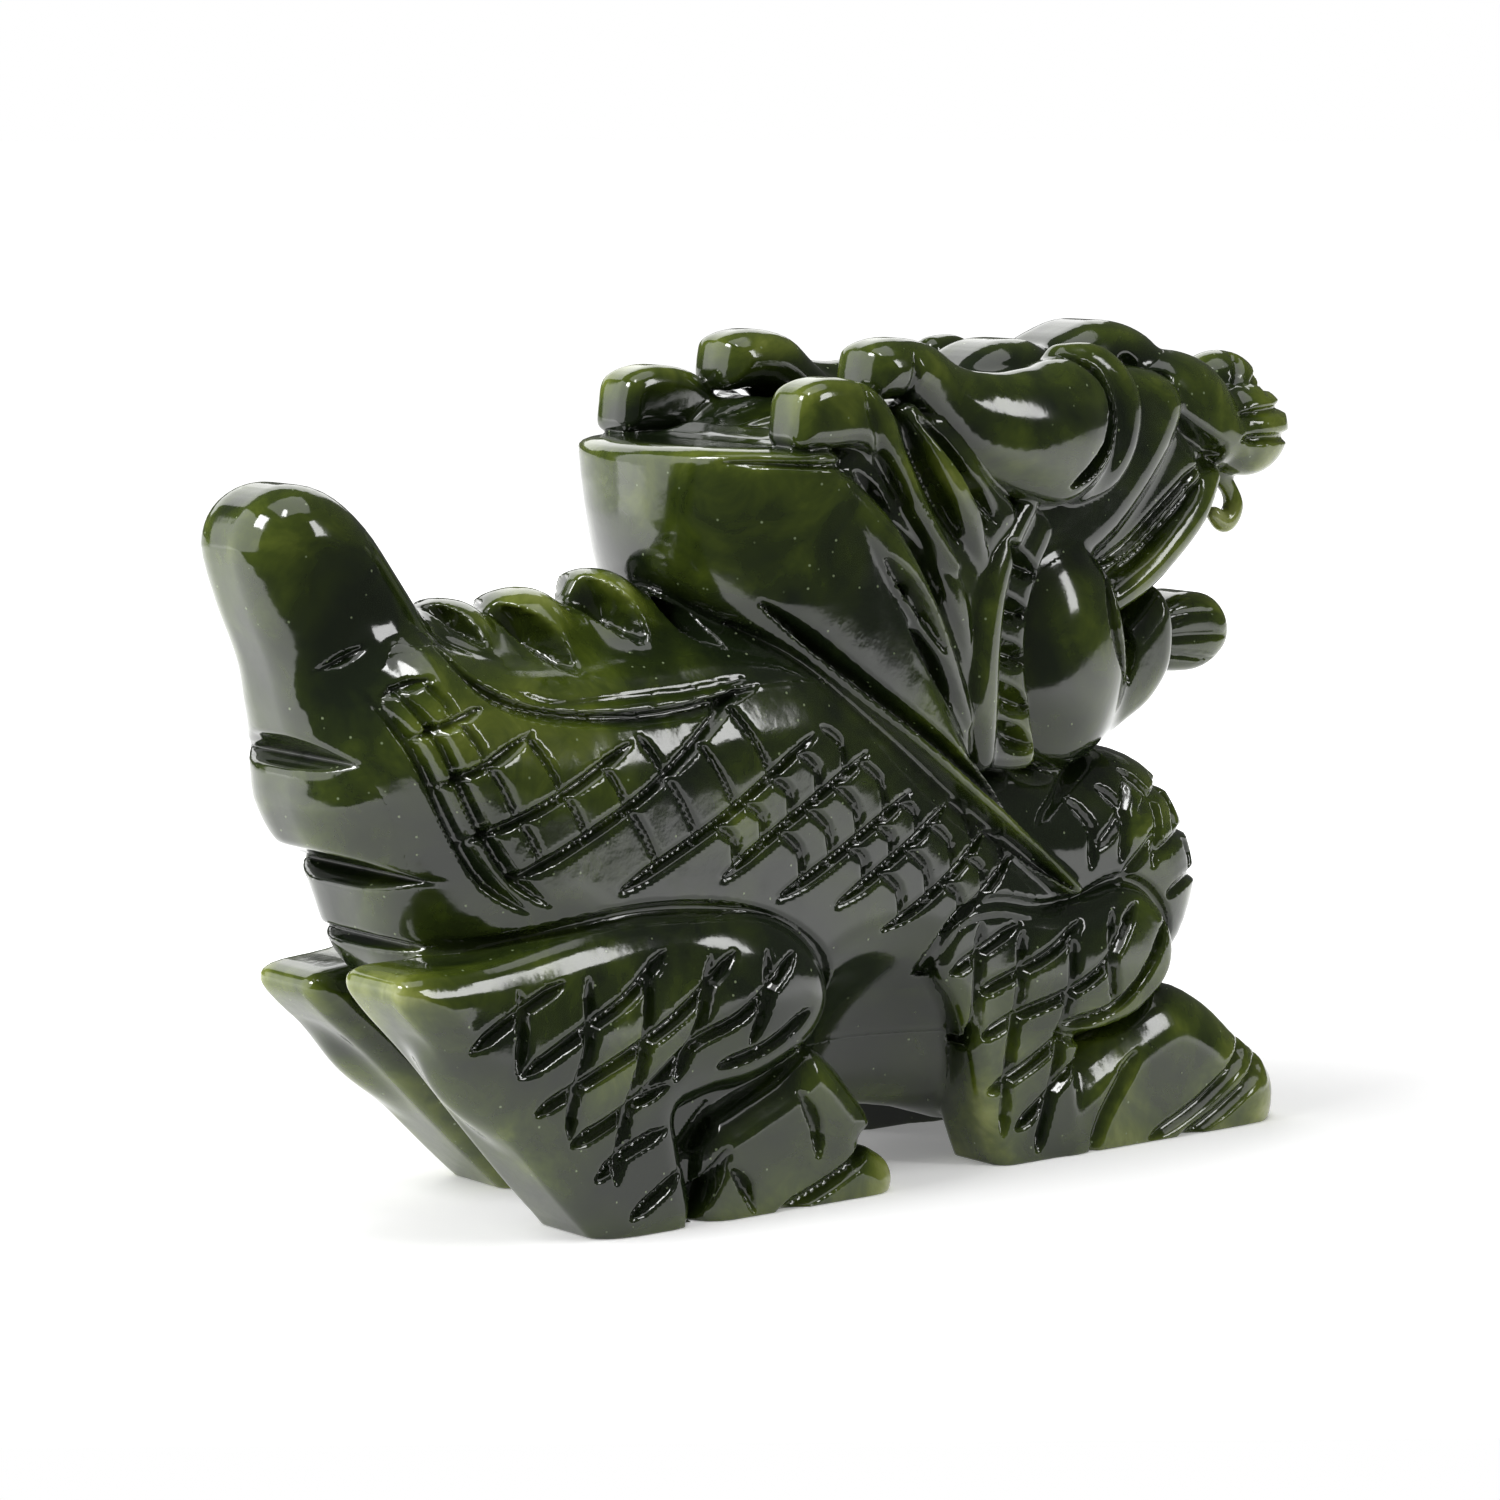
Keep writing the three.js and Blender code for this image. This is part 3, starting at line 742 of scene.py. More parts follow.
# %% [markdown]
# ## Cheek frill
#
# A curved band runs down the side of the head behind the cheek. In front of it, a strip is
# nicked into small triangular teeth.

# %% Carve the frill
def carve_frill():
    """Slab and edge rod, with slanting nicks."""
    b = Block((5.0, 18.0), (23.0, 44.6), (3.0, 11.6))
    b.plate(shape["frill"], 4.0, 8.7, edge=1.0, crown=0.9)
    band = [(12.6, 8.2, 42.2, 0.9), (10.2, 8.5, 39.6, 1.3), (8.8, 8.7, 36.6, 1.5),
            (8.3, 8.7, 33.0, 1.55), (8.4, 8.5, 29.6, 1.5), (9.0, 8.0, 26.6, 1.2)]
    b.rod(band, melt=0.15)
    nicks = [
        [(10.4, 40.2), (11.8, 38.6), (13.6, 37.8)],
        [(10.0, 36.9), (11.2, 35.6), (13.0, 35.2)],
        [(9.9, 34.0), (11.0, 32.9), (12.9, 32.3)],
        [(9.9, 31.2), (11.2, 30.0), (13.0, 29.2)],
        [(10.1, 28.6), (11.4, 27.6), (13.2, 26.8)],
    ]
    b.lines(nicks, half=0.9, depth=1.15, lift=1.6, w_from=6.0)
    return b


# %% [markdown]
# ## Skull, muzzle and mouth
#
# The skull fills the space between the brows and carries the two bumps of the forehead. The upper
# jaw is tilted up, with a double line along the lip, ribbed curls for nostrils and a drop-shaped
# fang. The lower jaw has a full, smooth cheek, and the tongue curls out like a petal.

# %% Carve the head
PIT = [(25.2, 4.2, 50.6, 0.8), (27.4, 4.8, 49.4, 0.75)]  # drilled in front of the eye
TOP_KNOB = 47.9  # height where the knob on top of the nose begins


def carve_skull():
    """Skull and forehead slabs, with a drilled pit in front of the eye."""
    b = Block((-9.0, 31.5), (24.0, 54.8), (0.0, 10.0))
    b.plate(shape["skull"], -7.2, 7.2, edge=2.0, crown=2.6)
    b.plate(shape["forehead"], -3.9, 3.9, edge=2.2, crown=2.6, melt=0.5)
    b.cut(strand(b, PIT), melt=0.2)
    partings = [[(-4.0, 47.4), (4.0, 49.6), (11.0, 50.8)]]
    b.lines(partings, half=0.5, depth=0.4)
    return b


def carve_snout():
    """Upper jaw with lip rods, nostril curls with ribs, and the fangs."""
    b = Block((16.5, 42.4), (32.0, 53.6), (0.0, 8.6))
    b.plate(shape["snout"], -5.9, 5.9, edge=3.0, crown=3.4)
    lip = [(32.0, 4.5, 43.0, 0.9), (30.0, 5.2, 40.8, 1.1), (27.4, 5.6, 38.7, 1.15),
           (24.6, 5.8, 36.7, 1.1), (22.2, 5.9, 35.4, 0.9)]
    b.rod(lip, melt=0.5)
    lines = [
        [(30.2, 44.0), (26.6, 41.2), (23.6, 38.9), (21.0, 37.7)],
        [(30.6, 43.0), (27.6, 40.6), (24.8, 38.4), (21.8, 36.9)],
        [(26.8, 47.8), (29.6, 46.0), (33.0, 44.4)],
        [(28.0, 50.0), (27.4, 47.6), (29.8, 44.2)],
    ]
    b.lines(lines, half=0.5, depth=0.55, w_from=2.6)
    b.cut(strand(b, PIT), melt=0.2)
    facet = outline_distance([(27.2, 48.2), (32.8, 45.2), (33.2, 43.6), (30.4, 42.9)], 1)
    b.engrave(np.clip(-facet * 1.1, 0.0, 1.1).astype(np.float32), w_from=3.0)
    b.lump((35.0, 0.0, 45.8), (3.0, 4.6, 3.2), melt=1.0)
    b.lump((36.6, 3.1, 45.8), (3.3, 2.6, 3.1), melt=0.5)
    b.lump((37.0, 0.0, 48.7), (2.9, 2.6, 2.3), melt=0.4)
    side_ribs = [[(34.2, 46.9), (36.4, 47.1), (40.4, 47.4)],
                 [(33.8, 45.3), (36.4, 45.4), (40.6, 45.3)]]
    b.lines(side_ribs, half=0.45, depth=0.5, w_from=1.8)
    top_ribs = [[(36.0, 48.4), (36.9, 49.7), (37.9, 51.4)],
                [(37.2, 48.1), (38.4, 48.9), (40.0, 49.8)]]
    b.engrave(stroke_map(top_ribs, half=0.45, depth=0.5, lift=1.2) * (flat_z > TOP_KNOB))
    fang = [(34.6, 2.4, 43.2, 0.75), (35.9, 2.4, 41.9, 0.6), (36.4, 2.4, 40.6, 0.7),
            (35.6, 2.4, 39.6, 0.75), (34.6, 2.4, 40.2, 0.55)]
    b.rod(fang)
    return b


def carve_jaw():
    """Lower jaw with its cheek and the leaf-shaped hollows at the corner of the mouth."""
    b = Block((8.0, 31.0), (22.5, 42.0), (0.0, 11.4))
    b.plate(shape["jaw"], -6.5, 6.5, edge=2.0, crown=2.6)
    b.lump((17.4, 5.4, 32.2), (5.6, 3.9, 7.6), melt=1.2)
    hollows = [
        [(20.8, 37.9), (20.2, 35.4), (20.6, 33.0), (22.2, 30.6)],
        [(22.2, 36.6), (22.2, 34.6), (22.5, 32.4)],
        [(23.6, 34.4), (23.6, 32.2), (23.2, 30.0)],
    ]
    b.lines(hollows, half=0.7, depth=0.9, lift=2.2, w_from=3.0)
    return b


def carve_tongue():
    """A petal with a rib down its middle, and faint rays."""
    b = Block((20.0, 39.5), (27.0, 38.5), (0.0, 5.0))
    b.plate(shape["tongue"], -2.9, 2.9, edge=1.8, crown=1.5)
    rays = [[(28.0, 31.4), (31.6, 30.9), (35.0, 30.4)], [(28.0, 32.1), (32.0, 32.2), (36.0, 32.0)],
            [(28.4, 32.9), (31.6, 33.6), (35.0, 33.6)]]
    b.lines(rays, half=0.36, depth=0.3, w_from=0.5)
    return b


# %% [markdown]
# ## From carved regions to one stone
#
# All the regions of a side are joined into one field, which is the skin of the whole stone. The
# figure is still kept as named pieces, as the CAD model is. A region owns the stone where its own
# distance is the smallest. A region later in the list is cut off sharply where an earlier one
# begins to own the stone, and runs on under it for a bit, a hair lower than the skin. The
# pieces are closed and overlap inside the stone, and no gap or step shows between them. The body's
# field is shared out by height: the crest above the border line, the belly at the bottom, and the
# barrel between them.

# %% Carve both sides
ORDER = ["hind_leg", "foreleg", "brow", "frill", "locks", "tongue", "snout", "jaw", "skull",
         "mane", "tail", "chest", "crest", "belly", "torso"]
MELT = {"hind_leg": 0.25, "foreleg": 0.4, "chest": 1.0, "tail": 0.8, "skull": 0.6, "mane": 0.4,
        "snout": 0.6, "jaw": 0.5}
UNDER = 0.6  # how far a piece runs on under an earlier one
HAIR = 0.07  # how far below the skin it lies there
SINK = 0.4  # the way over which it sinks to that depth

carvers = {
    "foreleg": carve_foreleg, "brow": carve_brow, "frill": carve_frill, "locks": carve_locks,
    "tongue": carve_tongue, "snout": carve_snout, "jaw": carve_jaw, "skull": carve_skull,
    "mane": carve_mane, "tail": carve_tail, "chest": carve_chest,
}
carved = {name: carve().whole() for name, carve in carvers.items()}
body = carve_body().whole()
above_border = (flat_z - np.interp(flat_x, *np.array(BORDER).T).astype(np.float32))[:, None, :]
below_barrel = BELLY_TOP - grid_z[None, None, :]
carved["crest"] = np.maximum(body, -above_border)
carved["belly"] = np.maximum(body, -below_barrel)
carved["torso"] = np.maximum(np.maximum(body, above_border), below_barrel)
sides = {
    side: {**carved, "hind_leg": carve_hind_leg(side).whole()} for side in ("right", "left")
}


def skin_of(fields):
    """All the regions joined, cut flat at the table."""
    skin = np.full(fields["torso"].shape, FAR, np.float32)
    for name in reversed(ORDER):
        skin = join(skin, fields[name], MELT.get(name, 0.2))
    return np.maximum(skin, -grid_z[None, None, :])


skins = {side: skin_of(fields) for side, fields in sides.items()}
print("stone in the half grid, mm3:",
      {side: round(float((skin < 0).sum() * STEP**3)) for side, skin in skins.items()})


def piece_field(side, name):
    """The skin, kept where the region owns the stone or an earlier region lies over it."""
    fields, skin = sides[side], skins[side]
    own = fields[name]
    place = ORDER.index(name)
    piece = skin
    if place > 0:
        earlier = np.minimum.reduce([fields[other] for other in ORDER[:place]])
        over = (own - earlier) / 2
        piece = np.maximum(skin + HAIR * np.clip(over / SINK, 0, 1), over - UNDER)
    if place + 1 < len(ORDER):
        later = np.minimum.reduce([fields[other] for other in ORDER[place + 1:]])
        piece = np.maximum(piece, (own - later) / 2)
    return piece


# %% [markdown]
# ## Surface nets
#
# A cube of the grid holds a bit of the surface if its corners are not all on one side. Such a cube
# gets one vertex, at the mean of the points where the surface crosses the cube's edges. Wherever a
# grid edge crosses the surface, the four cubes around it are joined by a face. It is all done
# on whole arrays.

# %% Surface nets
CUBE = np.array([(i, j, k) for i in (0, 1) for j in (0, 1) for k in (0, 1)])
CUBE_EDGES = [(a, b) for a in range(8) for b in range(a + 1, 8)
              if np.abs(CUBE[a] - CUBE[b]).sum() == 1]


def surface(field, low):
    """Vertices in millimetres and outward quads of the surface where the field is zero."""
    solid = field < 0
    n = np.array(field.shape)
    count = sum(solid[i:n[0] - 1 + i, j:n[1] - 1 + j, k:n[2] - 1 + k].astype(np.int8)
                for i, j, k in CUBE)
    cells = np.argwhere((count > 0) & (count < 8))
    number = np.full(n - 1, -1, np.int32)
    number[tuple(cells.T)] = np.arange(len(cells))
    corner = np.stack([field[tuple((cells + c).T)] for c in CUBE], 1)
    total = np.zeros((len(cells), 3))
    crossings = np.zeros(len(cells))
    for a, b in CUBE_EDGES:
        crossed = (corner[:, a] < 0) != (corner[:, b] < 0)
        gap = corner[:, a] - corner[:, b]
        t = np.where(crossed, corner[:, a] / np.where(gap == 0, 1, gap), 0)
        total += crossed[:, None] * (CUBE[a] + t[:, None] * (CUBE[b] - CUBE[a]))
        crossings += crossed
    vertices = (cells + total / crossings[:, None]) * STEP + low
    quads = []
    for axis in range(3):
        other, third = (axis + 1) % 3, (axis + 2) % 3
        near = [slice(1, -1)] * 3
        near[axis] = slice(0, -1)
        ahead = list(near)
        ahead[axis] = slice(1, None)
        first, second = solid[tuple(near)], solid[tuple(ahead)]
        for leaving in (True, False):
            edges = np.argwhere((first & ~second) if leaving else (~first & second))
            edges += [0 if i == axis else 1 for i in range(3)]
            around = []
            for back_other, back_third in ((0, 0), (1, 0), (1, 1), (0, 1)):
                cell = edges.copy()
                cell[:, other] -= back_other
                cell[:, third] -= back_third
                around.append(number[tuple(cell.T)])
            quads.append(np.stack(around if leaving else around[::-1], 1))
    return vertices, np.concatenate(quads)


def cropped(field, low):
    """The field's box around the stone, with one empty cell on every side."""
    solid = field < 0
    span = []
    for axis in range(3):
        filled = np.flatnonzero(solid.any(axis=tuple(i for i in range(3) if i != axis)))
        span.append((max(filled[0] - 2, 0), min(filled[-1] + 3, field.shape[axis])))
    part = np.pad(field[tuple(slice(a, b) for a, b in span)], 1, constant_values=FAR)
    start = np.array([a for a, _ in span]) - 1
    return part, low + start * STEP


# %% [markdown]
# ## Coarser where nobody looks
#
# The walls between two regions lie inside the stone, and would take more than half of all the
# triangles. So vertices deeper than 0.8 mm are gathered into one for every cube of 0.8 mm. A face
# that loses too many corners vanishes, and so do two faces that fall on each other, so the pieces
# stay closed.

# %% A lighter inside
DEEP = 0.8


def once(faces):
    """Faces whose set of corners comes up an odd number of times, once each."""
    _, first, count = np.unique(np.sort(faces, 1), axis=0, return_index=True,
                                return_counts=True)
    return faces[np.sort(first[count % 2 == 1])]


def lighter_inside(vertices, quads, depth):
    """Gathers the deep vertices by cubes; returns the vertices, and the faces as a list."""
    deep = depth > DEEP
    shallow = int((~deep).sum())
    cubes = np.floor(vertices[deep] / DEEP).astype(int)
    _, group = np.unique(cubes, axis=0, return_inverse=True)
    members = np.maximum(np.bincount(group), 1)
    middles = [np.bincount(group, vertices[deep][:, axis]) / members for axis in range(3)]
    number = np.empty(len(vertices), int)
    number[~deep] = np.arange(shallow)
    number[deep] = shallow + group
    faces = number[quads]
    repeats = faces == np.roll(faces, -1, 1)
    folded = (faces[:, 0] == faces[:, 2]) | (faces[:, 1] == faces[:, 3])
    four = once(faces[~repeats.any(1) & ~folded])
    lost_one = (repeats.sum(1) == 1) & ~folded
    three = once(faces[lost_one][~repeats[lost_one]].reshape(-1, 3))
    return np.concatenate([vertices[~deep], np.stack(middles, 1)]), four.tolist() + three.tolist()


# %% [markdown]
# ## How thick the stone is behind each point
#
# Jade lets light through where it is thin, so edges and scales glow yellow-green and thick parts
# stay almost black. Here that glow is not rendered: it is painted light, a lighter colour painted
# where the stone is thin. The share of stone in a ball around a point tells which is which. It is a
# blurred copy of the solid, and blurring by running means, three times over, is close to a
# Gaussian. Every vertex reads it, and the material paints the glow from it.

# %% Blurred solid
BLUR = 1.7  # radius of one running mean
FLAT_SHARE = 0.5  # the share of stone around a point on a flat face, which counts as thick
THIN_SPAN = 0.58  # how much less stone counts as quite thin
EVERY = 2  # the blurred solid needs only every second grid point


def mirrored(right, left):
    """The whole grid from -w to +w: the right half turned round, then the left half."""
    return np.concatenate([right[:, :0:-1], left], axis=1)


whole_skin = mirrored(skins["right"], skins["left"])
whole_low = np.array([grid_x[0], -grid_w[-1], grid_z[0]], float)
fullness = np.clip(0.5 - whole_skin / (2 * STEP), 0, 1)[::EVERY, ::EVERY, ::EVERY]
for _ in range(3):  # three passes come close to a Gaussian
    fullness = running_mean(fullness, int(round(BLUR / (STEP * EVERY))))
print("fullness from", round(float(fullness.min()), 2), "to", round(float(fullness.max()), 2))


def read_grid(data, points, low, step):
    """The value between the eight nearest grid points, each weighted by closeness."""
    place = (points - low) / step
    base = np.clip(np.floor(place).astype(int), 0, np.array(data.shape) - 2)
    part = np.clip(place - base, 0, 1)
    value = np.zeros(len(points))
    for c in CUBE:
        weight = np.prod(np.where(c, part, 1 - part), axis=1)
        value += weight * data[tuple((base + c).T)]
    return value


# %% [markdown]
# ## The stone
#
# The stone is polished nephrite, or the serpentine that is sold as jade. A fine polish
# gives a sharp mirror over a soft, waxy body: the roughness is low and the index of refraction
# is 1.61. The colour is a dark spinach green, clouded with yellow-green, with a few tiny pale
# specks. Clouds are 13 mm across, the veils within them 4.5 mm, and specks about 0.2 mm.

# %% Material helpers
def linear(hex_colour):
    """sRGB to linear light: c / 12.92 at the dark end, else ((c + 0.055) / 1.055) ^ 2.4."""
    parts = [int(hex_colour[i:i + 2], 16) / 255 for i in (1, 3, 5)]
    return [c / 12.92 if c <= 0.04045 else ((c + 0.055) / 1.055) ** 2.4 for c in parts] + [1.0]


def node(tree, kind, settings=(), **inputs):
    """Adds a node, sets its properties, and sets or links its inputs by name."""
    made = tree.nodes.new(kind)
    for key, value in dict(settings).items():
        setattr(made, key, value)
    for key, value in inputs.items():
        socket = made.inputs[int(key[1:]) if key[1:].isdigit() else key.replace("_", " ")]
        if isinstance(value, bpy.types.NodeSocket):
            tree.links.new(value, socket)
        else:
            socket.default_value = value
    return made


def ramp(tree, factor, stops):
    """A colour ramp from (position, hex colour) pairs."""
    made = node(tree, "ShaderNodeValToRGB", _0=factor)
    elements = made.color_ramp.elements
    while len(elements) < len(stops):
        elements.new(0.5)
    for element, (position, colour) in zip(elements, stops):
        element.position = position
        element.color = linear(colour)
    return made.outputs["Color"]


PER_MM = 1.0 / MM  # a noise scale of this has features one millimetre across


def polished_jade():
    """Dark green, painted lighter where thin stone lets light through; clouds, veils, specks, a
    hard polish.
    """
    material = bpy.data.materials.new("polished_spinach_jade")
    material.use_nodes = True
    tree = material.node_tree
    shader = tree.nodes["Principled BSDF"]
    spot = node(tree, "ShaderNodeTexCoord").outputs["Object"]
    # thin drives a painted glow: a lighter colour where the stone is thin, standing in for light
    # shining through it
    thin = node(tree, "ShaderNodeAttribute", {"attribute_name": "thin"}).outputs["Fac"]
    clouds = node(tree, "ShaderNodeTexNoise", Vector=spot, Scale=PER_MM / 13, Detail=4.0,
                  Roughness=0.55, Distortion=0.6)
    veils = node(tree, "ShaderNodeTexNoise", Vector=spot, Scale=PER_MM / 4.5, Detail=6.0,
                 Roughness=0.62, Distortion=1.4)
    cloud_part = node(tree, "ShaderNodeMapRange", _0=clouds.outputs["Fac"], _1=0.35, _2=0.7,
                      _3=-0.18, _4=0.42)
    veil_part = node(tree, "ShaderNodeMapRange", _0=veils.outputs["Fac"], _1=0.3, _2=0.72,
                     _3=-0.12, _4=0.14)
    # painted glow from thin stone, plus the stone's own clouds and veils of colour
    painted_glow_and_clouds = node(tree, "ShaderNodeMath", {"operation": "ADD"}, _0=thin,
                _1=cloud_part.outputs["Result"])
    painted_glow_and_clouds = node(tree, "ShaderNodeMath", {"operation": "ADD", "use_clamp": True},
                _0=painted_glow_and_clouds.outputs[0], _1=veil_part.outputs["Result"])
    body = ramp(tree, painted_glow_and_clouds.outputs[0], [
        (0.0, "#161E0F"), (0.2, "#252F10"), (0.4, "#3A4614"), (0.6, "#586322"),
        (0.8, "#7F8743"), (1.0, "#A3A776"),
    ])
    grains = node(tree, "ShaderNodeTexVoronoi", Vector=spot, Scale=PER_MM / 1.1)
    speck = node(tree, "ShaderNodeMapRange", _0=grains.outputs["Distance"], _1=0.05, _2=0.09,
                 _3=0.55, _4=0.0)
    colour = node(tree, "ShaderNodeMix", {"data_type": "RGBA"}, _0=speck.outputs["Result"],
                  _6=body, _7=linear("#9AA884"))
    tree.links.new(colour.outputs[2], shader.inputs["Base Color"])
    wear = node(tree, "ShaderNodeTexNoise", Vector=spot, Scale=PER_MM / 2.2, Detail=5.0)
    gloss = node(tree, "ShaderNodeMapRange", _0=wear.outputs["Fac"], _1=0.3, _2=0.75, _3=0.06,
                 _4=0.15)
    tree.links.new(gloss.outputs["Result"], shader.inputs["Roughness"])
    swirl = node(tree, "ShaderNodeTexNoise", Vector=spot, Scale=PER_MM / 1.6, Detail=3.0)
    polish = node(tree, "ShaderNodeBump", Height=swirl.outputs["Fac"], Strength=0.06,
                  Distance=0.3 * MM)
    tree.links.new(polish.outputs["Normal"], shader.inputs["Normal"])
    shader.inputs["IOR"].default_value = 1.61
    return material


jade = polished_jade()

# %% [markdown]
# ## Making the pieces
#
# Each region becomes one closed mesh, or two for the paired ones, whose CAD nodes begin with the
# side's name. The barrel is halved too, as it would be a heavy mesh in one. Each mesh rides on the
# one rigid body, stands for its CAD nodes, and takes the polished jade material.

# %% Pieces and the CAD nodes they stand for
MIDDLE = {
    "belly": ["belly"], "crest": ["dorsal_crest"], "chest": ["chest"], "tail": ["tail"],
    "mane": ["neck_mane"], "skull": ["skull", "forehead"],
    "snout": ["snout", "nose", "right_upper_fang", "left_upper_fang"], "jaw": ["lower_jaw"],
    "tongue": ["tongue"],
}
PAIRED = {
    "hind_leg": ["_haunch", "_hind_foot"], "foreleg": ["_foreleg", "_forepaw"],
    "locks": ["_horn", "_mane_locks"], "brow": ["_brow"], "frill": ["_cheek_frill"],
    "torso": ["torso"],
}


def make_piece(name, vertices, quads, nodes):
    """A mesh in metres, with painted light where the blurred solid says the stone is thin, tied to
    the frame.
    """
    depth = -read_grid(whole_skin, vertices, whole_low, STEP)
    vertices, faces = lighter_inside(vertices, quads, depth)
    full = read_grid(fullness, vertices, whole_low, STEP * EVERY)
    spot = (vertices + [NOSE_AHEAD, 0.0, 0.0]) * MM + PLACE
    mesh = bpy.data.meshes.new(name)
    mesh.from_pydata(spot.tolist(), [], faces)
    # painted glow: how much lighter the colour is painted where the stone is thin, standing in for
    # light through it
    painted_thin_glow = np.clip((FLAT_SHARE - full) / THIN_SPAN, 0, 1).astype(np.float32)
    mesh.attributes.new("thin", "FLOAT", "POINT").data.foreach_set("value", painted_thin_glow)
    mesh.polygons.foreach_set("use_smooth", np.ones(len(faces), bool))
    mesh.update()
    mesh.materials.append(jade)
    piece = bpy.data.objects.new(name, mesh)
    bpy.context.scene.collection.objects.link(piece)
    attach(piece, "root")
    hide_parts(*nodes)
    print(f"{name}: {sum(map(len, faces)) - 2 * len(faces)} triangles, stone {shares(full)}")


def shares(full):
    """The lowest, middle and highest share of stone around the vertices, as text."""
    return " ".join(f"{value:.2f}" for value in np.percentile(full, [2, 50, 98]))


for name, nodes in MIDDLE.items():
    whole = mirrored(piece_field("right", name), piece_field("left", name))
    part, low = cropped(whole, whole_low)
    make_piece(f"carved_{name}", *surface(part, low), nodes)
OVER_MIDDLE = 3  # grid points by which a half runs on over the middle plane, a hair lower
half_low = np.array([grid_x[0], -OVER_MIDDLE * STEP, grid_z[0]], float)
for name, nodes in PAIRED.items():
    for side, sign in (("right", -1), ("left", 1)):
        half = piece_field(side, name)
        half = np.concatenate([half[:, OVER_MIDDLE:0:-1] + HAIR, half], axis=1)
        part, low = cropped(half, half_low)
        vertices, quads = surface(part, low)
        vertices[:, 1] *= sign
        make_piece(f"{side}_carved_{name}", vertices, quads if sign > 0 else quads[:, ::-1],
                   [side + cad_node if cad_node[0] == "_" else cad_node for cad_node in nodes])

# %% [markdown]
# ## Studio
#
# The figure stands on a white sweep. Its polish shows the room, so the lamps are shapes to be seen
# in it: wide, dim tents on the left, above and behind, and small, bright heads and a strip for
# the sparkle along the cuts. The space between them is nearly dark, which keeps the green deep.

# %% Floor
centre = (cad_low + cad_high) / 2
reach = float(cad_high[0] - cad_low[0])
AZIMUTH = -38.0  # the camera looks from the tail end of the figure's right side
ELEVATION = 7.5
FLOOR_RADIUS = 3.0
FLOOR_AHEAD = 0.85  # how far the floor reaches in front, in lengths: a longer one would be mirrored


def direction(azimuth, elevation):
    """The way to a compass angle from -Y and an angle above the table, both in degrees."""
    a, e = math.radians(azimuth), math.radians(elevation)
    return np.array([math.sin(a) * math.cos(e), -math.cos(a) * math.cos(e), math.sin(e)])


def add_floor():
    """A wide pale disc under the figure, which ends a little in front of it."""
    angle = np.linspace(0, 2 * np.pi, 64, endpoint=False)
    rim = np.stack([np.cos(angle), np.sin(angle), np.zeros(64)], 1) * FLOOR_RADIUS
    rim -= direction(AZIMUTH, 0.0) * (FLOOR_RADIUS - FLOOR_AHEAD * reach)
    rim[:, 2] = cad_low[2]
    mesh = bpy.data.meshes.new("floor")
    mesh.from_pydata(rim.tolist(), [], [list(range(64))])
    material = bpy.data.materials.new("matt_white_paper")
    material.use_nodes = True
    tree = material.node_tree
    shader = tree.nodes["Principled BSDF"]
    spot = node(tree, "ShaderNodeTexCoord").outputs["Object"]
    tooth = node(tree, "ShaderNodeTexNoise", Vector=spot, Scale=PER_MM / 0.6, Detail=2.0)
    white = ramp(tree, tooth.outputs["Fac"], [(0.3, "#F4F4F4"), (0.7, "#FAFAFA")])
    tree.links.new(white, shader.inputs["Base Color"])
    shader.inputs["Roughness"].default_value = 0.9
    away = node(tree, "ShaderNodeVectorMath", {"operation": "LENGTH"}, _0=spot)
    lit = node(tree, "ShaderNodeMapRange", {"interpolation_type": "SMOOTHSTEP"},
               _0=away.outputs["Value"], _1=0.5 * reach, _2=1.3 * reach, _3=0.2, _4=1.0)
    shader.inputs["Emission Color"].default_value = (1.0, 1.0, 1.0, 1.0)
    tree.links.new(lit.outputs["Result"], shader.inputs["Emission Strength"])
    mesh.materials.append(material)
    floor = bpy.data.objects.new("floor", mesh)
    bpy.context.scene.collection.objects.link(floor)
    floor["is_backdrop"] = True


add_floor()
print("floor disc of", 2 * FLOOR_RADIUS, "m")


# %% Lights
def place_facing(thing, spot, aim):
    """Puts a lamp or camera at a spot, with its -Z towards aim and its Y as level as it can be."""
    thing.location = spot
    thing.rotation_euler = (Vector(aim) - Vector(spot)).to_track_quat("-Z", "Y").to_euler()


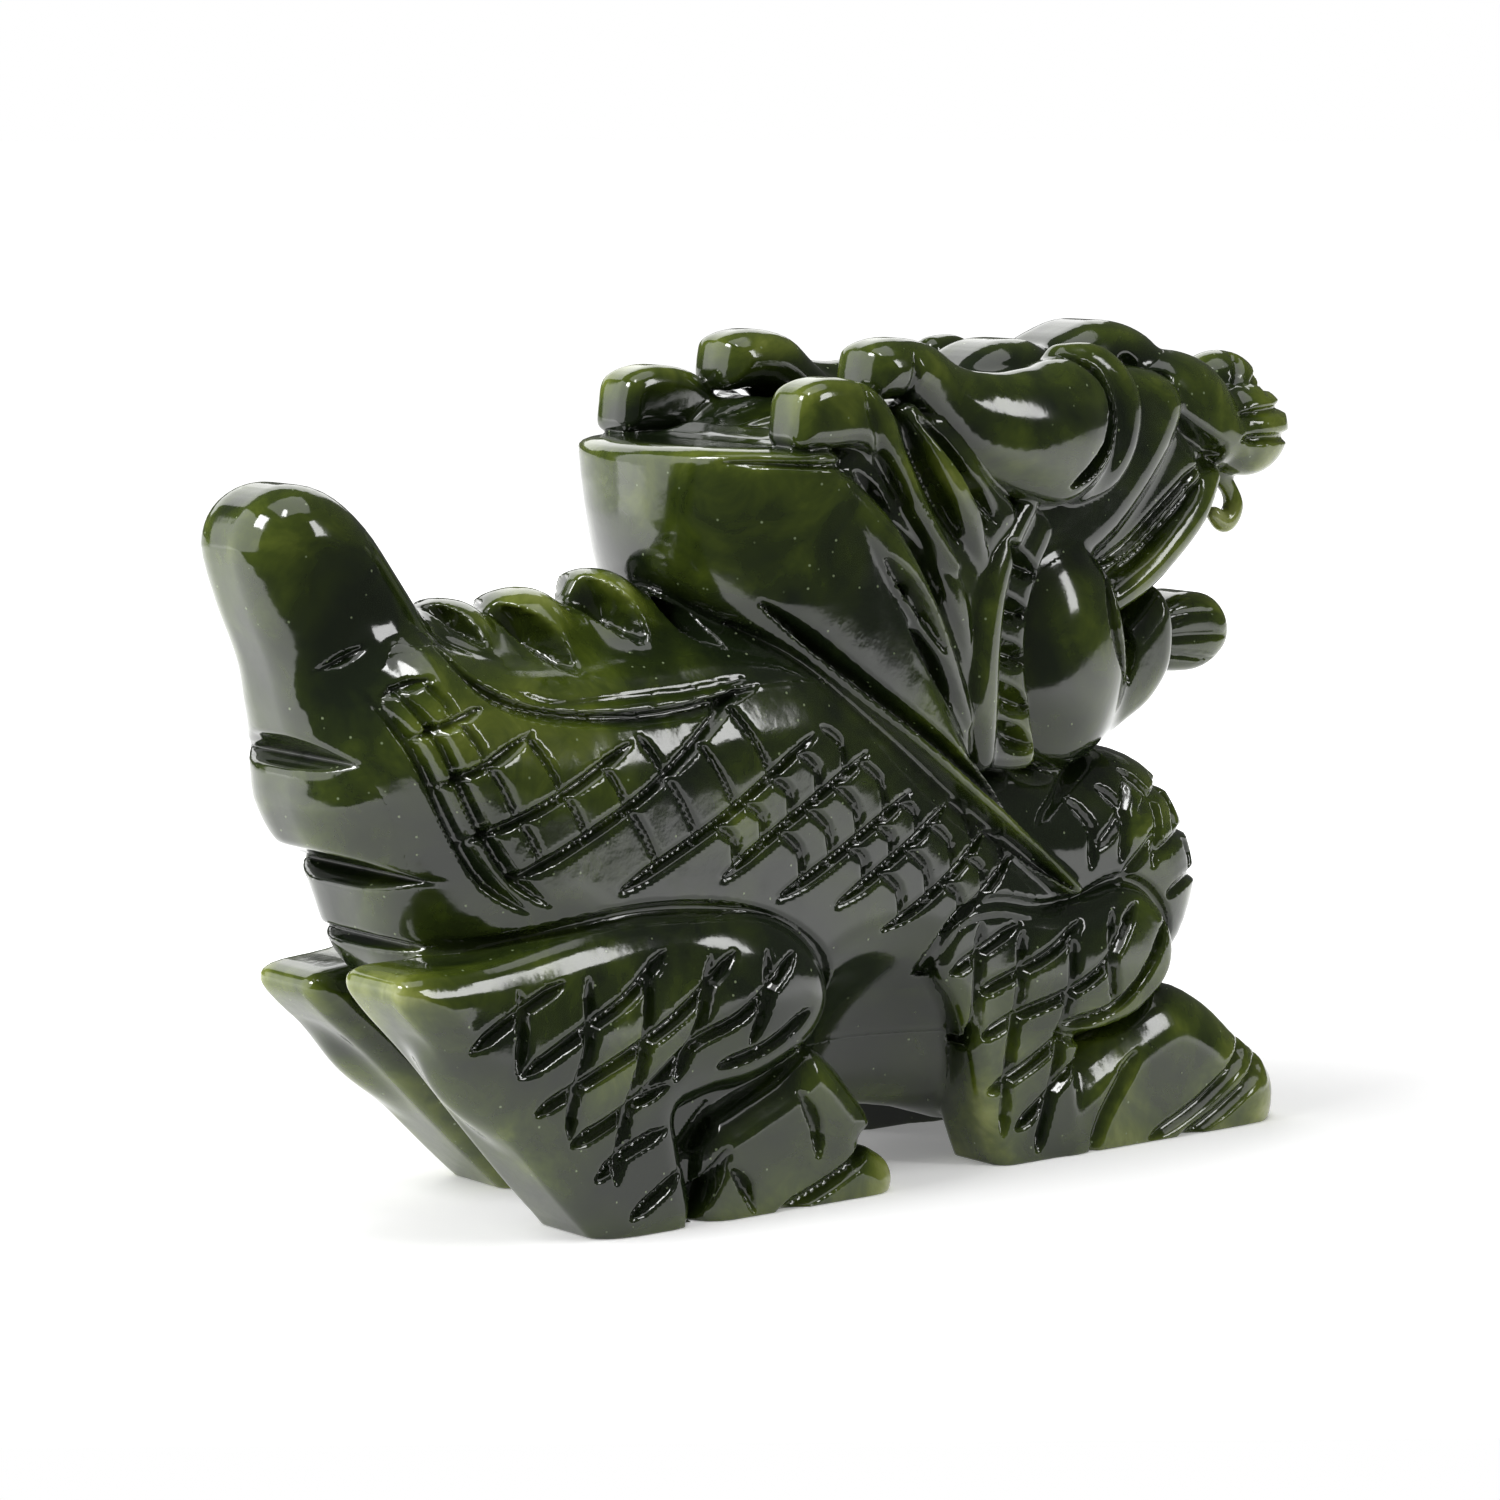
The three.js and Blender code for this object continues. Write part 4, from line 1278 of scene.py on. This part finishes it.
def soft_box(name, azimuth, elevation, distance, width, height, radiance):
    """A lamp sized and placed in figure lengths: power is radiance times area times pi."""
    data = bpy.data.lights.new(name, "AREA")
    data.shape = "RECTANGLE"
    data.size, data.size_y = width * reach, height * reach
    data.energy = radiance * (width * reach) * (height * reach) * math.pi
    lamp = bpy.data.objects.new(name, data)
    bpy.context.scene.collection.objects.link(lamp)
    place_facing(lamp, centre + direction(azimuth, elevation) * distance * reach, centre)


soft_box("left_tent", -115, 20, 4.8, 6.2, 4.6, 2.0)
soft_box("left_head", -92, 42, 4.4, 1.3, 1.3, 20.0)
soft_box("top_tent", 0, 84, 4.4, 4.0, 3.0, 1.6)
soft_box("top_head", -40, 68, 4.4, 0.5, 1.1, 16.0)
soft_box("right_strip", 30, 30, 4.6, 0.8, 2.2, 9.0)
soft_box("back_tent", 160, 30, 4.8, 5.0, 2.6, 2.0)

world = bpy.data.worlds.new("white_room")
world.use_nodes = True
background = world.node_tree.nodes["Background"]
seen = node(world.node_tree, "ShaderNodeLightPath").outputs["Is Camera Ray"]
level = node(world.node_tree, "ShaderNodeMapRange", _0=seen, _3=0.1, _4=1.0)
world.node_tree.links.new(level.outputs["Result"], background.inputs["Strength"])
background.inputs["Color"].default_value = (1.0, 1.0, 1.0, 1.0)
bpy.context.scene.world = world
print("lamps:", len(bpy.data.lights))

# %% Camera
LOOK_DISTANCE = 0.320
SEEN_WIDTH = 0.0949367  # what the camera sees from side to side, at that distance
camera_data = bpy.data.cameras.new("camera")
camera_data.sensor_width = 36.0
camera_data.lens = camera_data.sensor_width * LOOK_DISTANCE / SEEN_WIDTH
camera_data.clip_start = 0.01
camera = bpy.data.objects.new("camera", camera_data)
bpy.context.scene.collection.objects.link(camera)
look_at = np.array([NOSE_AHEAD - 3.0, 0.0, 27.0]) * MM + PLACE  # half way up, a bit to the tail
place_facing(camera, look_at + direction(AZIMUTH, ELEVATION) * LOOK_DISTANCE, look_at)
bpy.context.scene.camera = camera
bpy.context.scene.view_settings.view_transform = "Standard"
print("lens in mm:", round(camera_data.lens, 1))

# %% Measure the carving's box, and finish
low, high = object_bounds()
print("visual box in mm:", [round(float(b - a) * 1000, 2) for a, b in zip(low, high)])
